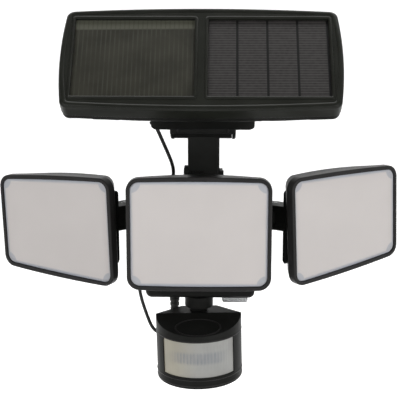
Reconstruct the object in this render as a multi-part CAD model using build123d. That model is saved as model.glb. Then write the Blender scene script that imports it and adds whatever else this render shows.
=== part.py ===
"""Solar security light: three lamp heads, a motion sensor and a tilting solar panel.

Millimetres. +X is to the right seen from the front, +Y goes into the wall, +Z is up.
The origin is the centre of the wall plate's back face.
Each head is drawn in a frame of its own: origin at the middle of its lens, lens facing -Y.
"""

import os
from math import asin, cos, degrees, pi, radians, sin, tan

from build123d import *

# ---- fits and walls
running_gap = 0.3  # between faces that move past each other
pin_gap = 0.05  # radial, round a pin or a screw
seat_gap = 0.15  # round a piece that drops into its recess
wall = 2.4

# ---- lamp heads
lens_width = 124.2
lens_height = 95.7
lens_bow = 0.9  # how far the top and bottom edges swell at their middle
lens_corner = 8.5
bezel_rim = 3.3
bezel_bow = 1.6
bezel_depth = 8.2
bezel_lip = 3.2
diffuser_flange = 1.5
diffuser_flange_thickness = 1.6
side_taper = 6.45  # how much a side head's outer end is lower, top and bottom
head_depth = 20.0
shell_bow = 2.6
shell_top_slope = 2.2  # how far top and bottom close in towards the back
shell_end_slope = 9.6  # how far the two ends close in
board_thickness = 1.6
board_setback = 12.0
led_columns = 6
led_rows = 4
led_size = 3.0
led_height = 0.8
post_inset_x = 11.0
post_inset_z = 5.5
post_radius = 5.0
screw_radius = 1.4
screw_head_radius = 2.6
screw_head_height = 1.8

# ---- where the middle head stands
head_front_y = -125.0
centre_head_z = 21.9
centre_pitch_angle = -1.5
centre_hinge_setback = 32.0  # hinge axis behind the lens
centre_knuckle_half = 9.0
centre_knuckle_radius = 6.5
centre_ear_thickness = 6.0
centre_foot_margin = 12.0
centre_foot_half_height = 22.0
centre_foot_thickness = 2.5
centre_foot_corner = 4.0
hinge_bolt_radius = 2.5
bolt_head_radius = 4.5
bolt_head_height = 2.6

# ---- side heads and their arms
knuckle_reach = 17.3  # knuckle middle beyond the side of the housing
knuckle_y = -68.0
knuckle_z = 27.0
knuckle_radius = 11.0
knuckle_height = 24.0
arm_eye_height = 11.4
side_hinge_inset = 9.0  # pan axis outboard of the lens's inner edge
side_hinge_setback = 43.0  # pan axis behind the lens
side_head_drop = 7.4  # lens centre below the knuckle's middle
side_boss_height = 70.0
side_boss_inset = 6.5
side_boss_depth = 5.0
side_boss_length = 50.0
arm_spigot_radius = 8.0
arm_collar_width = 3.6
nut_thickness = 4.0
arm_shank_half = 6.0
clevis_clearance = 1.5  # round the arm's eye
shank_clearance = 0.5
left_pan_angle = 29.5
left_swivel_angle = 0.5
left_lean_angle = -1.9
right_pan_angle = 35.5
right_swivel_angle = -1.4
right_lean_angle = 3.1

# ---- housing
housing_half_width = 52.0
housing_top = 47.0
housing_bottom = -51.8
housing_front = -81.0
housing_back = -20.0
housing_corner = 6.0
rear_cover_depth = 11.7
cover_rim = 5.0
gasket_thickness = 1.2
cell_radius = 9.2
cell_length = 65.0
cell_count = 3

# ---- wall plate
plate_width = 84.0
plate_height = 88.0
plate_base = 3.0
plate_rim = 8.0
plate_hole_radius = 2.4
plate_hole_span_x = 56.0
plate_hole_span_z = 60.0
lock_screw_radius = 1.5
lock_screw_y = -5.5

# ---- pole, drum and bracket
pole_x = 3.0
pole_y = -60.0
pole_width = 29.8
pole_thickness = 14.0
pole_wall = 2.5
drum_x = 2.5
drum_z = 112.0
drum_radius = 12.3
drum_half_length = 27.0
cheek_thickness = 3.3
cheek_radius = 12.9
shroud_thickness = 3.0
shroud_below_angle = 22.0  # degrees that the shroud reaches below the drum's middle
tongue_height = 29.0
lock_boss_radius = 7.0
lock_boss_height = 3.6
lock_bolt_z = 66.6

# ---- solar panel, drawn lying flat, then tilted about the drum
panel_tilt_angle = 49.6
panel_width = 250.0
panel_length = 105.0
panel_side_bow = 4.0
panel_end_bow = 3.4
panel_corner = 7.5
panel_top_depth = 14.5
panel_back_depth = 8.0
panel_wall = 2.4
panel_centre_x = 1.0
panel_centre_y = -80.0
panel_centre_z = 177.0
window_width = 110.5
window_length = 85.0
window_gap = 12.6
window_up = 1.0  # the windows sit a little nearer the upper edge
window_recess = 2.6
window_ledge = 2.0  # how far a module reaches under the frame
panel_post_radius = 3.2
panel_post_inset = 3.4  # post behind the long edges
panel_end_post_inset = 3.0
module_thickness = 3.0
wiring_box_width = 95.4
wiring_box_length = 52.0
wiring_box_depth = 24.5
wiring_box_low = -47.8
wiring_box_corner = 6.0

# ---- motion sensor
sensor_x = -1.3
sensor_radius = 40.9
sensor_y = -83.0
sensor_back_y = -55.0
sensor_back_half = 17.0
cap_bottom = -81.0
cap_side_top = -66.0
cap_front_top = -75.0
cap_back_top = -69.0
cap_wall = 2.4
body_bottom = -127.3
lens_bottom = -116.0
sensor_lens_half_angle = 54.2
sensor_lens_thickness = 1.6
sensor_lens_recess = 0.9
neck_radius = 13.6
neck_bottom = -63.3
neck_y = -68.0
neck_spigot_radius = 8.0
sensor_pin_radius = 2.0
sensor_pin_z = -73.0
sensor_barrel_radius = 5.0
sensor_barrel_half = 8.0
sensor_lean_angle = 1.4
sensor_can_z = -98.0
sensor_can_radius = 4.6
sensor_can_height = 4.5
sensor_screw_across = 22.0
sensor_screw_behind = 2.0
sensor_post_radius = 3.4

# ---- slide switch
switch_x = 33.4
switch_y = -66.0
switch_length = 24.0
switch_width = 11.0
boot_depth = 7.6
boot_wall = 1.2
lever_length = 5.0
lever_offset = 2.6

# ---- gland and lead
gland_x = -26.8
gland_y = -31.0
gland_top_radius = 5.8
gland_end_radius = 4.2
gland_length = 30.0
lead_radius = 1.7
grommet_radius = 3.0
grommet_length = 7.0
lead_arc_share = 0.45

centre_hinge_y = head_front_y + centre_hinge_setback
half_lens = lens_width / 2
knuckle_x = housing_half_width + knuckle_reach


# ---------------------------------------------------------------- small tools
def front_plane(y):
    """The upright plane at y whose normal points to the front."""
    return Plane(origin=(0, y, 0), x_dir=(1, 0, 0), z_dir=(0, -1, 0))


def box_between(x0, x1, y0, y1, z0, z1):
    """A box given by its faces."""
    middle = Pos((x0 + x1) / 2, (y0 + y1) / 2, (z0 + z1) / 2)
    return middle * Box(abs(x1 - x0), abs(y1 - y0), abs(z1 - z0))


def rod_x(x0, x1, y, z, radius):
    """A round bar along X."""
    return Pos((x0 + x1) / 2, y, z) * Rot(0, 90, 0) * Cylinder(radius, abs(x1 - x0))


def rod_y(x, y0, y1, z, radius):
    """A round bar along Y."""
    return Pos(x, (y0 + y1) / 2, z) * Rot(90, 0, 0) * Cylinder(radius, abs(y1 - y0))


def rod_z(x, y, z0, z1, radius):
    """A round bar along Z."""
    return Pos(x, y, (z0 + z1) / 2) * Cylinder(radius, abs(z1 - z0))


def upright(sketch, y_front, y_back):
    """A sketch drawn as seen from the front, run from y_front back to y_back."""
    return extrude(front_plane(y_back) * sketch, amount=y_back - y_front)


def edges_at(solid, axis, value):
    """The edges whose middle lies at one value along an axis."""
    return solid.edges().filter_by_position(axis, value - 0.01, value + 0.01)


# ---------------------------------------------------------------- lamp heads
def head_outline(grow, taper, bow=lens_bow, ends_in=0.0):
    """The lens outline grown by so much; its right-hand end is lower by taper at top and bottom."""
    half = half_lens + grow - ends_in
    inner = lens_height / 2 + grow
    outer = inner - taper
    middle = (inner + outer) / 2 + bow
    top = ThreePointArc((-half, inner), (0, middle), (half, outer))
    low = ThreePointArc((half, -outer), (0, -middle), (-half, -inner))
    ends = Line((half, outer), (half, -outer)) + Line((-half, -inner), (-half, inner))
    face = make_face(top + ends + low)
    return fillet(face.vertices(), lens_corner + grow)


def post_spots(taper):
    """The four places of the corner posts in a head."""
    across = half_lens - post_inset_x
    inner = lens_height / 2 - post_inset_z
    outer = inner - taper
    return [(-across, inner), (across, outer), (across, -outer), (-across, -inner)]


def corner_boss(x, z, radius, y0, y1):
    """A round boss that runs out into the corner of the head."""
    out_x, out_z = (12 if x > 0 else -12), (12 if z > 0 else -12)
    return rod_y(x, y0, y1, z, radius) + box_between(x, x + out_x, y0, y1, z, z + out_z)


def head_bezel(taper):
    """The front frame with its lip, and a screw boss in each corner."""
    lip_front = -bezel_lip + diffuser_flange
    back = lip_front + bezel_depth
    frame = upright(head_outline(bezel_rim, taper, bezel_bow), lip_front, back)
    frame = fillet(edges_at(frame, Axis.Y, lip_front), 1.1)
    frame -= upright(head_outline(0, taper), lip_front - 1, back)
    pocket = upright(head_outline(diffuser_flange + seat_gap, taper), diffuser_flange, back)
    boss_front = diffuser_flange + diffuser_flange_thickness
    for x, z in post_spots(taper):
        pocket -= corner_boss(x, z, post_radius, boss_front, back)
    frame -= pocket
    for x, z in post_spots(taper):
        frame -= rod_y(x, boss_front + 1, back + 1, z, screw_radius + pin_gap)
    return frame


def head_diffuser(taper):
    """The milky front plate, with a flange that the bezel's lip holds."""
    back = diffuser_flange + diffuser_flange_thickness
    plate = upright(head_outline(-seat_gap, taper), 0, back)
    plate = fillet(edges_at(plate, Axis.Y, 0), 0.5)
    return plate + upright(head_outline(diffuser_flange, taper), diffuser_flange, back)


def tapered_block(grow, taper, y_front, y_back):
    """A block that closes in towards the back as the rear shell does."""
    ends = shell_end_slope - shell_top_slope
    front = front_plane(y_front) * head_outline(grow, taper, bezel_bow)
    back = front_plane(y_back) * head_outline(grow - shell_top_slope, taper, shell_bow, ends)
    return loft([front, back], ruled=True)


def head_rear_shell(taper):
    """The tub behind the bezel; its ends slope in much more than its top and bottom."""
    start = -bezel_lip + diffuser_flange + bezel_depth
    floor = head_depth - wall
    shell = tapered_block(bezel_rim, taper, start, head_depth)
    cavity = tapered_block(bezel_rim - wall, taper, start, floor)
    for x, z in post_spots(taper):
        cavity -= corner_boss(x, z, post_radius - 0.6, start, floor)
    shell -= cavity
    stand = board_setback + board_thickness
    for x in (-half_lens / 2, half_lens / 2):
        shell += rod_y(x, stand, floor, 0, 3.0)
    for x, z in post_spots(taper):
        shell -= rod_y(x, start - 1, head_depth + 1, z, screw_radius + pin_gap)
        shell -= rod_y(x, floor, head_depth + 1, z, screw_head_radius + seat_gap)
    return shell


def head_led_board(taper):
    """The lamp board with its rows of LEDs."""
    grow = bezel_rim - wall - shell_top_slope - 0.4
    ends = shell_end_slope - shell_top_slope
    back = board_setback + board_thickness
    board = upright(head_outline(grow, taper, lens_bow, ends), board_setback, back)
    for x, z in post_spots(taper):
        board -= corner_boss(x, z, post_radius + 0.2, board_setback - 1, back + 1)
    for column in range(led_columns):
        for row in range(led_rows):
            x = lens_width * 0.78 * ((column + 0.5) / led_columns - 0.5)
            z = (lens_height - 2 * side_taper) * 0.78 * ((row + 0.5) / led_rows - 0.5)
            half = led_size / 2
            board += box_between(
                x - half, x + half, board_setback - led_height, board_setback, z - half, z + half
            )
    return board


def head_screws(taper):
    """Four screws from the back, through the rear shell into the bezel."""
    front = diffuser_flange + diffuser_flange_thickness + 2
    seat = head_depth - wall
    screws = []
    for x, z in post_spots(taper):
        screw = rod_y(x, front, seat, z, screw_radius)
        screws.append(screw + rod_y(x, seat, seat + screw_head_height, z, screw_head_radius))
    return screws


def head_pieces(taper):
    """What all three heads have, in the head's own frame."""
    return {
        "bezel": [head_bezel(taper)],
        "diffuser": [head_diffuser(taper)],
        "rear_shell": [head_rear_shell(taper)],
        "led_board": [head_led_board(taper)],
        "screws": head_screws(taper),
    }


# ---------------------------------------------------------------- middle head
def centre_knuckle():
    """The hinge knuckle on the back of the middle head, in the head's frame."""
    half, radius = centre_knuckle_half, centre_knuckle_radius
    across, up = half + centre_foot_margin, centre_foot_half_height
    foot = box_between(-across, across, head_depth - 1, head_depth + centre_foot_thickness, -up, up)
    foot = fillet(foot.edges().filter_by(Axis.Y), centre_foot_corner)
    web = box_between(-half, half, head_depth - 1, centre_hinge_setback, -radius, radius)
    barrel = rod_x(-half, half, centre_hinge_setback, 0, radius)
    bore = rod_x(-half - 1, half + 1, centre_hinge_setback, 0, hinge_bolt_radius + pin_gap)
    return foot + web + barrel - bore


def place_centre(shape):
    """From the head's frame to the light: in place, and pitched about the hinge."""
    at_hinge = Pos(0, -centre_hinge_setback, 0) * shape
    return Pos(0, centre_hinge_y, centre_head_z) * Rot(centre_pitch_angle, 0, 0) * at_hinge


def hinge_bolt():
    """The middle head's hinge bolt, with its nut, through both ears of the housing."""
    half = centre_knuckle_half + running_gap + centre_ear_thickness
    y, z = centre_hinge_y, centre_head_z
    shaft = rod_x(-half - 4.5, half + running_gap, y, z, hinge_bolt_radius)
    head = rod_x(half + running_gap, half + running_gap + bolt_head_height, y, z, bolt_head_radius)
    nut = Pos(-half - running_gap, y, z) * Rot(0, -90, 0) * extrude(RegularPolygon(4.6, 6), 3.6)
    return shaft + head + nut


# ---------------------------------------------------------------- side heads
def side_clevis():
    """Two ears round the pan axis and the ribbed boss that carries them, in the head's frame."""
    axis_x = -half_lens + side_hinge_inset
    boss_x0 = -half_lens + side_boss_inset
    boss = box_between(
        boss_x0,
        boss_x0 + side_boss_length,
        head_depth - 1,
        head_depth + side_boss_depth,
        -side_boss_height / 2,
        side_boss_height / 2,
    )
    boss = chamfer(boss.edges().filter_by(Axis.X), 2.4)
    outline = Pos(axis_x, side_hinge_setback) * Circle(knuckle_radius)
    reach = Polygon(
        (axis_x - knuckle_radius, side_hinge_setback),
        (axis_x + knuckle_radius, side_hinge_setback),
        (axis_x + knuckle_radius + 14, head_depth + 2),
        (boss_x0 + 1, head_depth + 2),
        align=None,
    )
    ears = extrude(outline + reach, knuckle_height / 2, both=True)
    gap = arm_eye_height / 2 + running_gap
    slot = rod_z(axis_x, side_hinge_setback, -gap, gap, knuckle_radius + clevis_clearance)
    shank_side = side_hinge_setback - arm_shank_half - shank_clearance
    slot += box_between(
        axis_x - 4 * knuckle_radius, axis_x, shank_side, 2 * side_hinge_setback, -gap, gap
    )
    bore = rod_z(axis_x, side_hinge_setback, -knuckle_height, knuckle_height, hinge_bolt_radius + pin_gap)
    recess_floor = knuckle_height / 2 - 1.6 - pin_gap
    recess = rod_z(axis_x, side_hinge_setback, recess_floor, 20, bolt_head_radius + running_gap)
    clevis = fillet(edges_at(ears, Axis.Z, knuckle_height / 2), 1.2)
    clevis = fillet(edges_at(clevis, Axis.Z, -knuckle_height / 2), 2.4)
    return boss + Pos(0, 0, side_head_drop) * (clevis - slot - bore - recess)


def place_side(shape, pan, swivel):
    """From a right-hand head's frame to the light, turned on its knuckle."""
    axis_x = -half_lens + side_hinge_inset
    at_axis = Pos(-axis_x, -side_hinge_setback, -side_head_drop) * shape
    return place_arm(Rot(0, 0, pan) * at_axis, swivel)


def lean_head(shape, lean):
    """Leans a side head sideways on its clevis, about the pan axis."""
    axis = Pos(-half_lens + side_hinge_inset, side_hinge_setback, side_head_drop)
    return axis * Rot(0, -lean, 0) * axis.inverse() * shape


def place_arm(shape, swivel):
    """From the knuckle's frame to the light."""
    return Pos(knuckle_x, knuckle_y, knuckle_z) * Rot(swivel, 0, 0) * shape


def side_arm():
    """The arm between housing and head, in the knuckle's frame: eye, collar and spigot."""
    collar_x = housing_half_width + running_gap - knuckle_x
    collar_end = collar_x + arm_collar_width
    eye = rod_z(0, 0, -arm_eye_height / 2, arm_eye_height / 2, knuckle_radius)
    shank = box_between(
        collar_x, 0, -arm_shank_half, arm_shank_half, -arm_eye_height / 2, arm_eye_height / 2
    )
    collar = rod_x(collar_x, collar_end, 0, 0, knuckle_radius)
    collar = fillet(edges_at(collar, Axis.X, collar_end), 1.0)
    inner = housing_half_width - wall - 4 - running_gap - nut_thickness - knuckle_x
    spigot = rod_x(inner, collar_x, 0, 0, arm_spigot_radius)
    bore = rod_z(0, 0, -20, 20, hinge_bolt_radius + pin_gap)
    return eye + shank + collar + spigot - bore


def swivel_nut():
    """The ring nut that keeps the arm's spigot in the housing, in the knuckle's frame."""
    outer = housing_half_width - wall - 4 - running_gap - knuckle_x
    ring = rod_x(outer - nut_thickness, outer, 0, 0, arm_spigot_radius + 2.2)
    return ring - rod_x(outer - nut_thickness - 1, outer + 1, 0, 0, arm_spigot_radius + pin_gap)


def pan_screw():
    """The round-headed screw that a side head pans on, in the knuckle's frame."""
    seat = knuckle_height / 2 - 1.6
    shaft = rod_z(0, 0, -knuckle_height / 2 + 1, seat, hinge_bolt_radius)
    head = rod_z(0, 0, seat, seat + 2.4, bolt_head_radius)
    head = fillet(edges_at(head, Axis.Z, seat + 2.4), 1.0)
    return shaft + head


# ---------------------------------------------------------------- housing
def housing_block(y0, y1, inset):
    """The housing's rounded outline, run from y0 to y1."""
    width = 2 * (housing_half_width - inset)
    height = housing_top - housing_bottom - 2 * inset
    outline = RectangleRounded(width, height, max(housing_corner - inset, 1.5))
    return upright(Pos(0, (housing_top + housing_bottom) / 2) * outline, y0, y1)


def cell_spots():
    """The height of each battery cell."""
    pitch = 2 * cell_radius + 1.2
    return [8 + pitch * (index - (cell_count - 1) / 2) for index in range(cell_count)]


def main_housing():
    """The battery housing: a tub open at the back, with all that the heads are hung on."""
    shell = housing_block(housing_front, housing_back, 0)
    shell = chamfer(edges_at(shell, Axis.Y, housing_front), 2.2)
    shell -= housing_block(housing_front + wall, housing_back + 1, wall)
    # sockets for the side arms
    inner = housing_half_width - wall - 4
    for side in (-1, 1):
        socket = rod_x(side * inner, side * housing_half_width, knuckle_y, knuckle_z, 12.6)
        shell += socket & housing_block(housing_front, housing_back, 0)
        shell -= rod_x(
            side * (inner - 1),
            side * (housing_half_width + 1),
            knuckle_y,
            knuckle_z,
            arm_spigot_radius + pin_gap,
        )
    # ears of the middle head's hinge
    ear_x = centre_knuckle_half + running_gap
    for side in (-1, 1):
        x0, x1 = side * ear_x, side * (ear_x + centre_ear_thickness)
        radius = centre_knuckle_radius
        ear = rod_x(x0, x1, centre_hinge_y, centre_head_z, radius)
        low, high = centre_head_z - radius, centre_head_z + radius
        ear += box_between(x0, x1, centre_hinge_y, housing_front + 1, low, high)
        ear -= rod_x(x0 - side, x1 + side, centre_hinge_y, centre_head_z, hinge_bolt_radius + pin_gap)
        shell += ear
    # tongue that stands in the pole's foot
    tongue_half = pole_width / 2 - pole_wall - seat_gap
    depth_half = pole_thickness / 2 - pole_wall - seat_gap
    tongue = box_between(
        pole_x - tongue_half,
        pole_x + tongue_half,
        pole_y - depth_half,
        pole_y + depth_half,
        housing_top - 1,
        housing_top + tongue_height,
    )
    shell += tongue
    shell -= rod_x(pole_x - 30, pole_x + 30, pole_y, lock_bolt_z, hinge_bolt_radius + pin_gap)
    # floor: sensor neck, gland and switch
    floor = housing_bottom
    shell += rod_z(sensor_x, neck_y, floor, floor + 6, neck_spigot_radius + 3)
    shell -= rod_z(sensor_x, neck_y, floor - 1, floor + 7, neck_spigot_radius + pin_gap)
    shell -= rod_z(gland_x, gland_y, floor - 1, floor + wall + 1, gland_top_radius - 1.6 + seat_gap)
    slot_half = switch_length / 2 - 2.5
    shell -= box_between(
        switch_x - slot_half,
        switch_x + slot_half,
        switch_y - switch_width / 2 + boot_wall,
        switch_y + switch_width / 2 - boot_wall,
        floor - 1,
        floor + wall + 1,
    )
    # screw posts for the rear cover
    for x, z in housing_screw_spots():
        shell += rod_y(x, housing_back - 16, housing_back, z, 4.0) & housing_block(
            housing_front, housing_back, 0
        )
        shell -= rod_y(x, housing_back - 14, housing_back + 1, z, screw_radius + pin_gap)
    return shell


def housing_screw_spots():
    """The four corners where the rear cover is screwed on."""
    across = housing_half_width - wall - 3.6
    low, high = housing_bottom + wall + 3.6, housing_top - wall - 3.6
    return [(-across, low), (across, low), (across, high), (-across, high)]


def rear_gasket():
    """The seal between housing and rear cover."""
    ring = housing_block(housing_back, housing_back + gasket_thickness, 0.6)
    ring -= housing_block(housing_back - 1, housing_back + gasket_thickness + 1, wall + 1.0)
    for x, z in housing_screw_spots():
        ring -= rod_y(x, housing_back - 1, housing_back + 3, z, 2.2)
    return ring


def rear_cover():
    """The lid at the back of the housing, with a rim that the wall plate takes."""
    front = housing_back + gasket_thickness
    back = housing_back + rear_cover_depth
    lid = housing_block(front, back, 0)
    lid = chamfer(edges_at(lid, Axis.Y, back), 1.6)
    lid -= housing_block(front - 1, back - wall, wall)
    for x, z in housing_screw_spots():
        lid += rod_y(x, front, back - 1, z, 4.0) & housing_block(front, back, 0.5)
        lid -= rod_y(x, front - 1, back + 1, z, screw_radius + pin_gap)
        lid -= rod_y(x, back - 2.2, back + 1, z, screw_head_radius + seat_gap)
    margin = 2 * (wall + seat_gap)
    rim = RectangleRounded(plate_width - margin, plate_height - margin, 2.6)
    rim -= Rectangle(plate_width - margin - 2 * cover_rim, plate_height - margin - 2 * cover_rim)
    lid += upright(rim, back - 1, -plate_base)
    low = -plate_height / 2
    lid -= rod_z(0, lock_screw_y, low, low + 14, lock_screw_radius + pin_gap)
    return lid


def housing_screws():
    """Four screws through the rear cover into the housing."""
    seat = housing_back + rear_cover_depth - 2.2
    screws = []
    for x, z in housing_screw_spots():
        screw = rod_y(x, housing_back - 12, seat, z, screw_radius)
        screws.append(screw + rod_y(x, seat, seat + screw_head_height, z, screw_head_radius))
    return screws


def wall_plate():
    """The tray that is screwed to the wall and takes the rear cover's block."""
    outline = RectangleRounded(plate_width, plate_height, 5)
    tray = upright(outline, -plate_rim, 0)
    pocket = RectangleRounded(plate_width - 2 * wall, plate_height - 2 * wall, 2.6)
    tray -= upright(pocket, -plate_rim - 1, -plate_base)
    for x in (-plate_hole_span_x / 2, plate_hole_span_x / 2):
        for z in (-plate_hole_span_z / 2, plate_hole_span_z / 2):
            tray -= rod_y(x, -plate_base - 1, 1, z, plate_hole_radius)
    low = -plate_height / 2
    tray -= rod_z(0, lock_screw_y, low - 1, low + wall + 1, lock_screw_radius + pin_gap)
    return tray


def lock_screw():
    """The screw from below that locks the housing on its wall plate."""
    bottom = -plate_height / 2
    shaft = rod_z(0, lock_screw_y, bottom, bottom + 12, lock_screw_radius)
    return shaft + rod_z(0, lock_screw_y, bottom - 1.8, bottom, 1.6 * lock_screw_radius)


def battery_cells():
    """The rechargeable cells, lying across the housing."""
    y = housing_back - cell_radius - 3
    return [rod_x(-cell_length / 2, cell_length / 2, y, z, cell_radius) for z in cell_spots()]


def battery_tray():
    """The cradle that the cells lie in, and the board stands on."""
    y = housing_back - cell_radius - 3
    spots = cell_spots()
    half = cell_length / 2 + 0.4
    low, high = spots[0] - cell_radius - 2, spots[-1] + cell_radius + 2
    tray = box_between(-half - 2, half + 2, y - cell_radius - 2.6, y, low, high)
    for z in spots:
        tray -= rod_x(-half, half, y, z, cell_radius + 0.3)
    for side in (-1, 1):
        foot_x = side * (half + 2)
        tray += box_between(foot_x, foot_x - side * 3, y - 11, y - 4, housing_bottom + wall, low + 1)
    return tray


def control_board():
    """The charge and lamp control board, in front of the cells."""
    back = housing_back - 2 * cell_radius - 3 - 2.6
    board = box_between(-32, 32, back - board_thickness, back, -34, 34)
    for x, z, half in ((-18, 14, 6), (8, 20, 4), (16, -18, 7), (-14, -16, 5)):
        board += box_between(
            x - half, x + half, back - board_thickness - 3, back - board_thickness, z - half, z + half
        )
    return board


# ---------------------------------------------------------------- switch
def switch_body():
    """The slide switch inside the housing, over its slot."""
    floor = housing_bottom + wall
    half = switch_length / 2 - 1.5
    body = box_between(
        switch_x - half, switch_x + half, switch_y - 6.5, switch_y + 6.5, floor, floor + 7
    )
    travel = lever_length / 2 + 7.5
    return body - box_between(
        switch_x + lever_offset - travel,
        switch_x + travel,
        switch_y - 2.4,
        switch_y + 2.4,
        floor - 1,
        floor + 4.4,
    )


def switch_lever():
    """The lever that slides from side to side."""
    x = switch_x + lever_offset
    root = box_between(
        x - lever_length / 2,
        x + lever_length / 2,
        switch_y - 2.0,
        switch_y + 2.0,
        housing_bottom - 3.0,
        housing_bottom + wall + 3.8,
    )
    tip = fillet(root.edges().filter_by(Axis.Y).sort_by(Axis.Z)[:2], 1.4)
    return tip


def switch_boot():
    """The clear rubber boot over the lever."""
    top, low = housing_bottom, housing_bottom - boot_depth
    half, deep = switch_length / 2, switch_width / 2
    outer = box_between(switch_x - half, switch_x + half, switch_y - deep, switch_y + deep, low, top)
    outer = fillet(outer.edges().filter_by(Axis.Z), 2.0)
    outer = fillet(edges_at(outer, Axis.Z, low), 1.5)
    inner = box_between(
        switch_x - half + boot_wall,
        switch_x + half - boot_wall,
        switch_y - deep + boot_wall,
        switch_y + deep - boot_wall,
        low + boot_wall,
        top + 1,
    )
    return outer - inner


# ---------------------------------------------------------------- pole and bracket
def pole():
    """The hollow pole with the panel's drum at its top."""
    low = housing_top
    width, deep = pole_width, pole_thickness
    post = Pos(pole_x, pole_y, (low + drum_z) / 2) * Box(width, deep, drum_z - low)
    post = fillet(post.edges().filter_by(Axis.Z), 2.5)
    hollow = box_between(
        pole_x - width / 2 + pole_wall,
        pole_x + width / 2 - pole_wall,
        pole_y - deep / 2 + pole_wall,
        pole_y + deep / 2 - pole_wall,
        low - 1,
        drum_z - drum_radius - 2,
    )
    drum = rod_x(drum_x - drum_half_length, drum_x + drum_half_length, pole_y, drum_z, drum_radius)
    boss_x = pole_x - width / 2
    boss = rod_x(boss_x - lock_boss_height, boss_x + 1, pole_y, lock_bolt_z, lock_boss_radius)
    boss = fillet(edges_at(boss, Axis.X, boss_x - lock_boss_height), 1.2)
    bore = rod_x(pole_x - 40, pole_x + 40, pole_y, lock_bolt_z, hinge_bolt_radius + pin_gap)
    head_pocket = rod_x(
        boss_x - 5, boss_x - 1.4, pole_y, lock_bolt_z, bolt_head_radius + seat_gap
    )
    window = box_between(boss_x + 1.6, pole_x, pole_y - deep, pole_y - 1, 66.8, 69.2)
    pin_bore = rod_x(drum_x - 40, drum_x + 40, pole_y, drum_z, hinge_bolt_radius + pin_gap)
    return post + drum + boss - hollow - bore - head_pocket - window - pin_bore


def lock_bolt():
    """The bolt that locks the pole on the housing's tongue."""
    left = pole_x - pole_width / 2 - 1.4
    right = pole_x + pole_width / 2
    shaft = rod_x(left, right + 4, pole_y, lock_bolt_z, hinge_bolt_radius)
    head = rod_x(left - bolt_head_height, left, pole_y, lock_bolt_z, bolt_head_radius)
    nut = Pos(right, pole_y, lock_bolt_z) * Rot(0, 90, 0) * extrude(RegularPolygon(4.4, 6), 3)
    return shaft + head + nut


def flat_panel(shape):
    """From the panel's flat frame (face up, X across, Y up the slope) to the light."""
    return Pos(panel_centre_x, panel_centre_y, panel_centre_z) * Rot(panel_tilt_angle, 0, 0) * shape


def drum_in_panel():
    """The drum's middle in the panel's flat frame: across, up the slope, and under the face."""
    tilt = radians(panel_tilt_angle)
    dx, dy, dz = drum_x - panel_centre_x, pole_y - panel_centre_y, drum_z - panel_centre_z
    return dx, dy * cos(tilt) + dz * sin(tilt), -dy * sin(tilt) + dz * cos(tilt)


def panel_outline(inset):
    """The panel seen from above: all four edges swell a little."""
    half, deep = panel_width / 2 - inset, panel_length / 2 - inset
    edges = ThreePointArc((-half, deep), (0, deep + panel_end_bow), (half, deep))
    edges += ThreePointArc((half, deep), (half + panel_side_bow, 0), (half, -deep))
    edges += ThreePointArc((half, -deep), (0, -deep - panel_end_bow), (-half, -deep))
    edges += ThreePointArc((-half, -deep), (-half - panel_side_bow, 0), (-half, deep))
    return fillet(make_face(edges).vertices(), panel_corner - inset * 0.5)


def window_spots():
    """The middles of the two windows."""
    across = (window_width + window_gap) / 2
    return [(-across, window_up), (across, window_up)]


def panel_frame():
    """The panel's top shell with its two window openings."""
    frame = extrude(panel_outline(0), -panel_top_depth)
    frame = fillet(edges_at(frame, Axis.Z, 0), 2.6)
    frame -= extrude(Pos(0, 0, -panel_top_depth) * panel_outline(panel_wall), panel_top_depth - 5.6)
    for x, y in window_spots():
        frame -= Pos(x, y, -3) * Box(window_width, window_length, 8)
        frame -= Pos(x, y, -window_recess - 2) * Box(
            window_width + 2 * window_ledge, window_length + 2 * window_ledge, 4
        )
    for x, y in panel_screw_spots():
        frame += Pos(x, y, -panel_top_depth / 2 - 1.5) * Cylinder(panel_post_radius, panel_top_depth - 3)
        frame -= Pos(x, y, -panel_top_depth) * Cylinder(screw_radius + pin_gap, 12)
    return frame


def panel_screw_spots():
    """Where the panel's rear cover is screwed on: behind each window's middle, and at both ends."""
    deep = panel_length / 2 - panel_post_inset
    end = panel_width / 2 - panel_end_post_inset
    spots = [(x, side * deep) for x, _ in window_spots() for side in (-1, 1)]
    return spots + [(-end, 0), (end, 0)]


def panel_back():
    """The panel's rear cover, a shallow pan."""
    top = -panel_top_depth
    back = extrude(Pos(0, 0, top) * panel_outline(0.6), -panel_back_depth)
    back = fillet(edges_at(back, Axis.Z, top - panel_back_depth), 2.4)
    back -= extrude(Pos(0, 0, top) * panel_outline(0.6 + panel_wall), -panel_back_depth + panel_wall)
    floor = top - panel_back_depth
    for x, y in panel_screw_spots():
        back += Pos(x, y, (top + floor) / 2) * Cylinder(panel_post_radius, panel_back_depth)
        back -= Pos(x, y, (top + floor) / 2) * Cylinder(screw_radius + pin_gap, panel_back_depth + 2)
        back -= Pos(x, y, floor) * Cylinder(screw_head_radius + seat_gap, 2 * screw_head_height)
    return back


def solar_module(side):
    """One solar module, seated in its window from behind."""
    x, y = window_spots()[side]
    rim = window_ledge - seat_gap
    top = -window_recess
    plate = Pos(x, y, top - module_thickness / 2) * Box(
        window_width + 2 * rim, window_length + 2 * rim, module_thickness
    )
    return plate


def panel_screws():
    """The screws through the rear cover into the frame."""
    seat = -panel_top_depth - panel_back_depth + screw_head_height
    screws = []
    for x, y in panel_screw_spots():
        shaft = Pos(x, y, seat + 5) * Cylinder(screw_radius, 10)
        head = Pos(x, y, seat - screw_head_height / 2) * Cylinder(screw_head_radius, screw_head_height)
        screws.append(shaft + head)
    return screws


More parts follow.
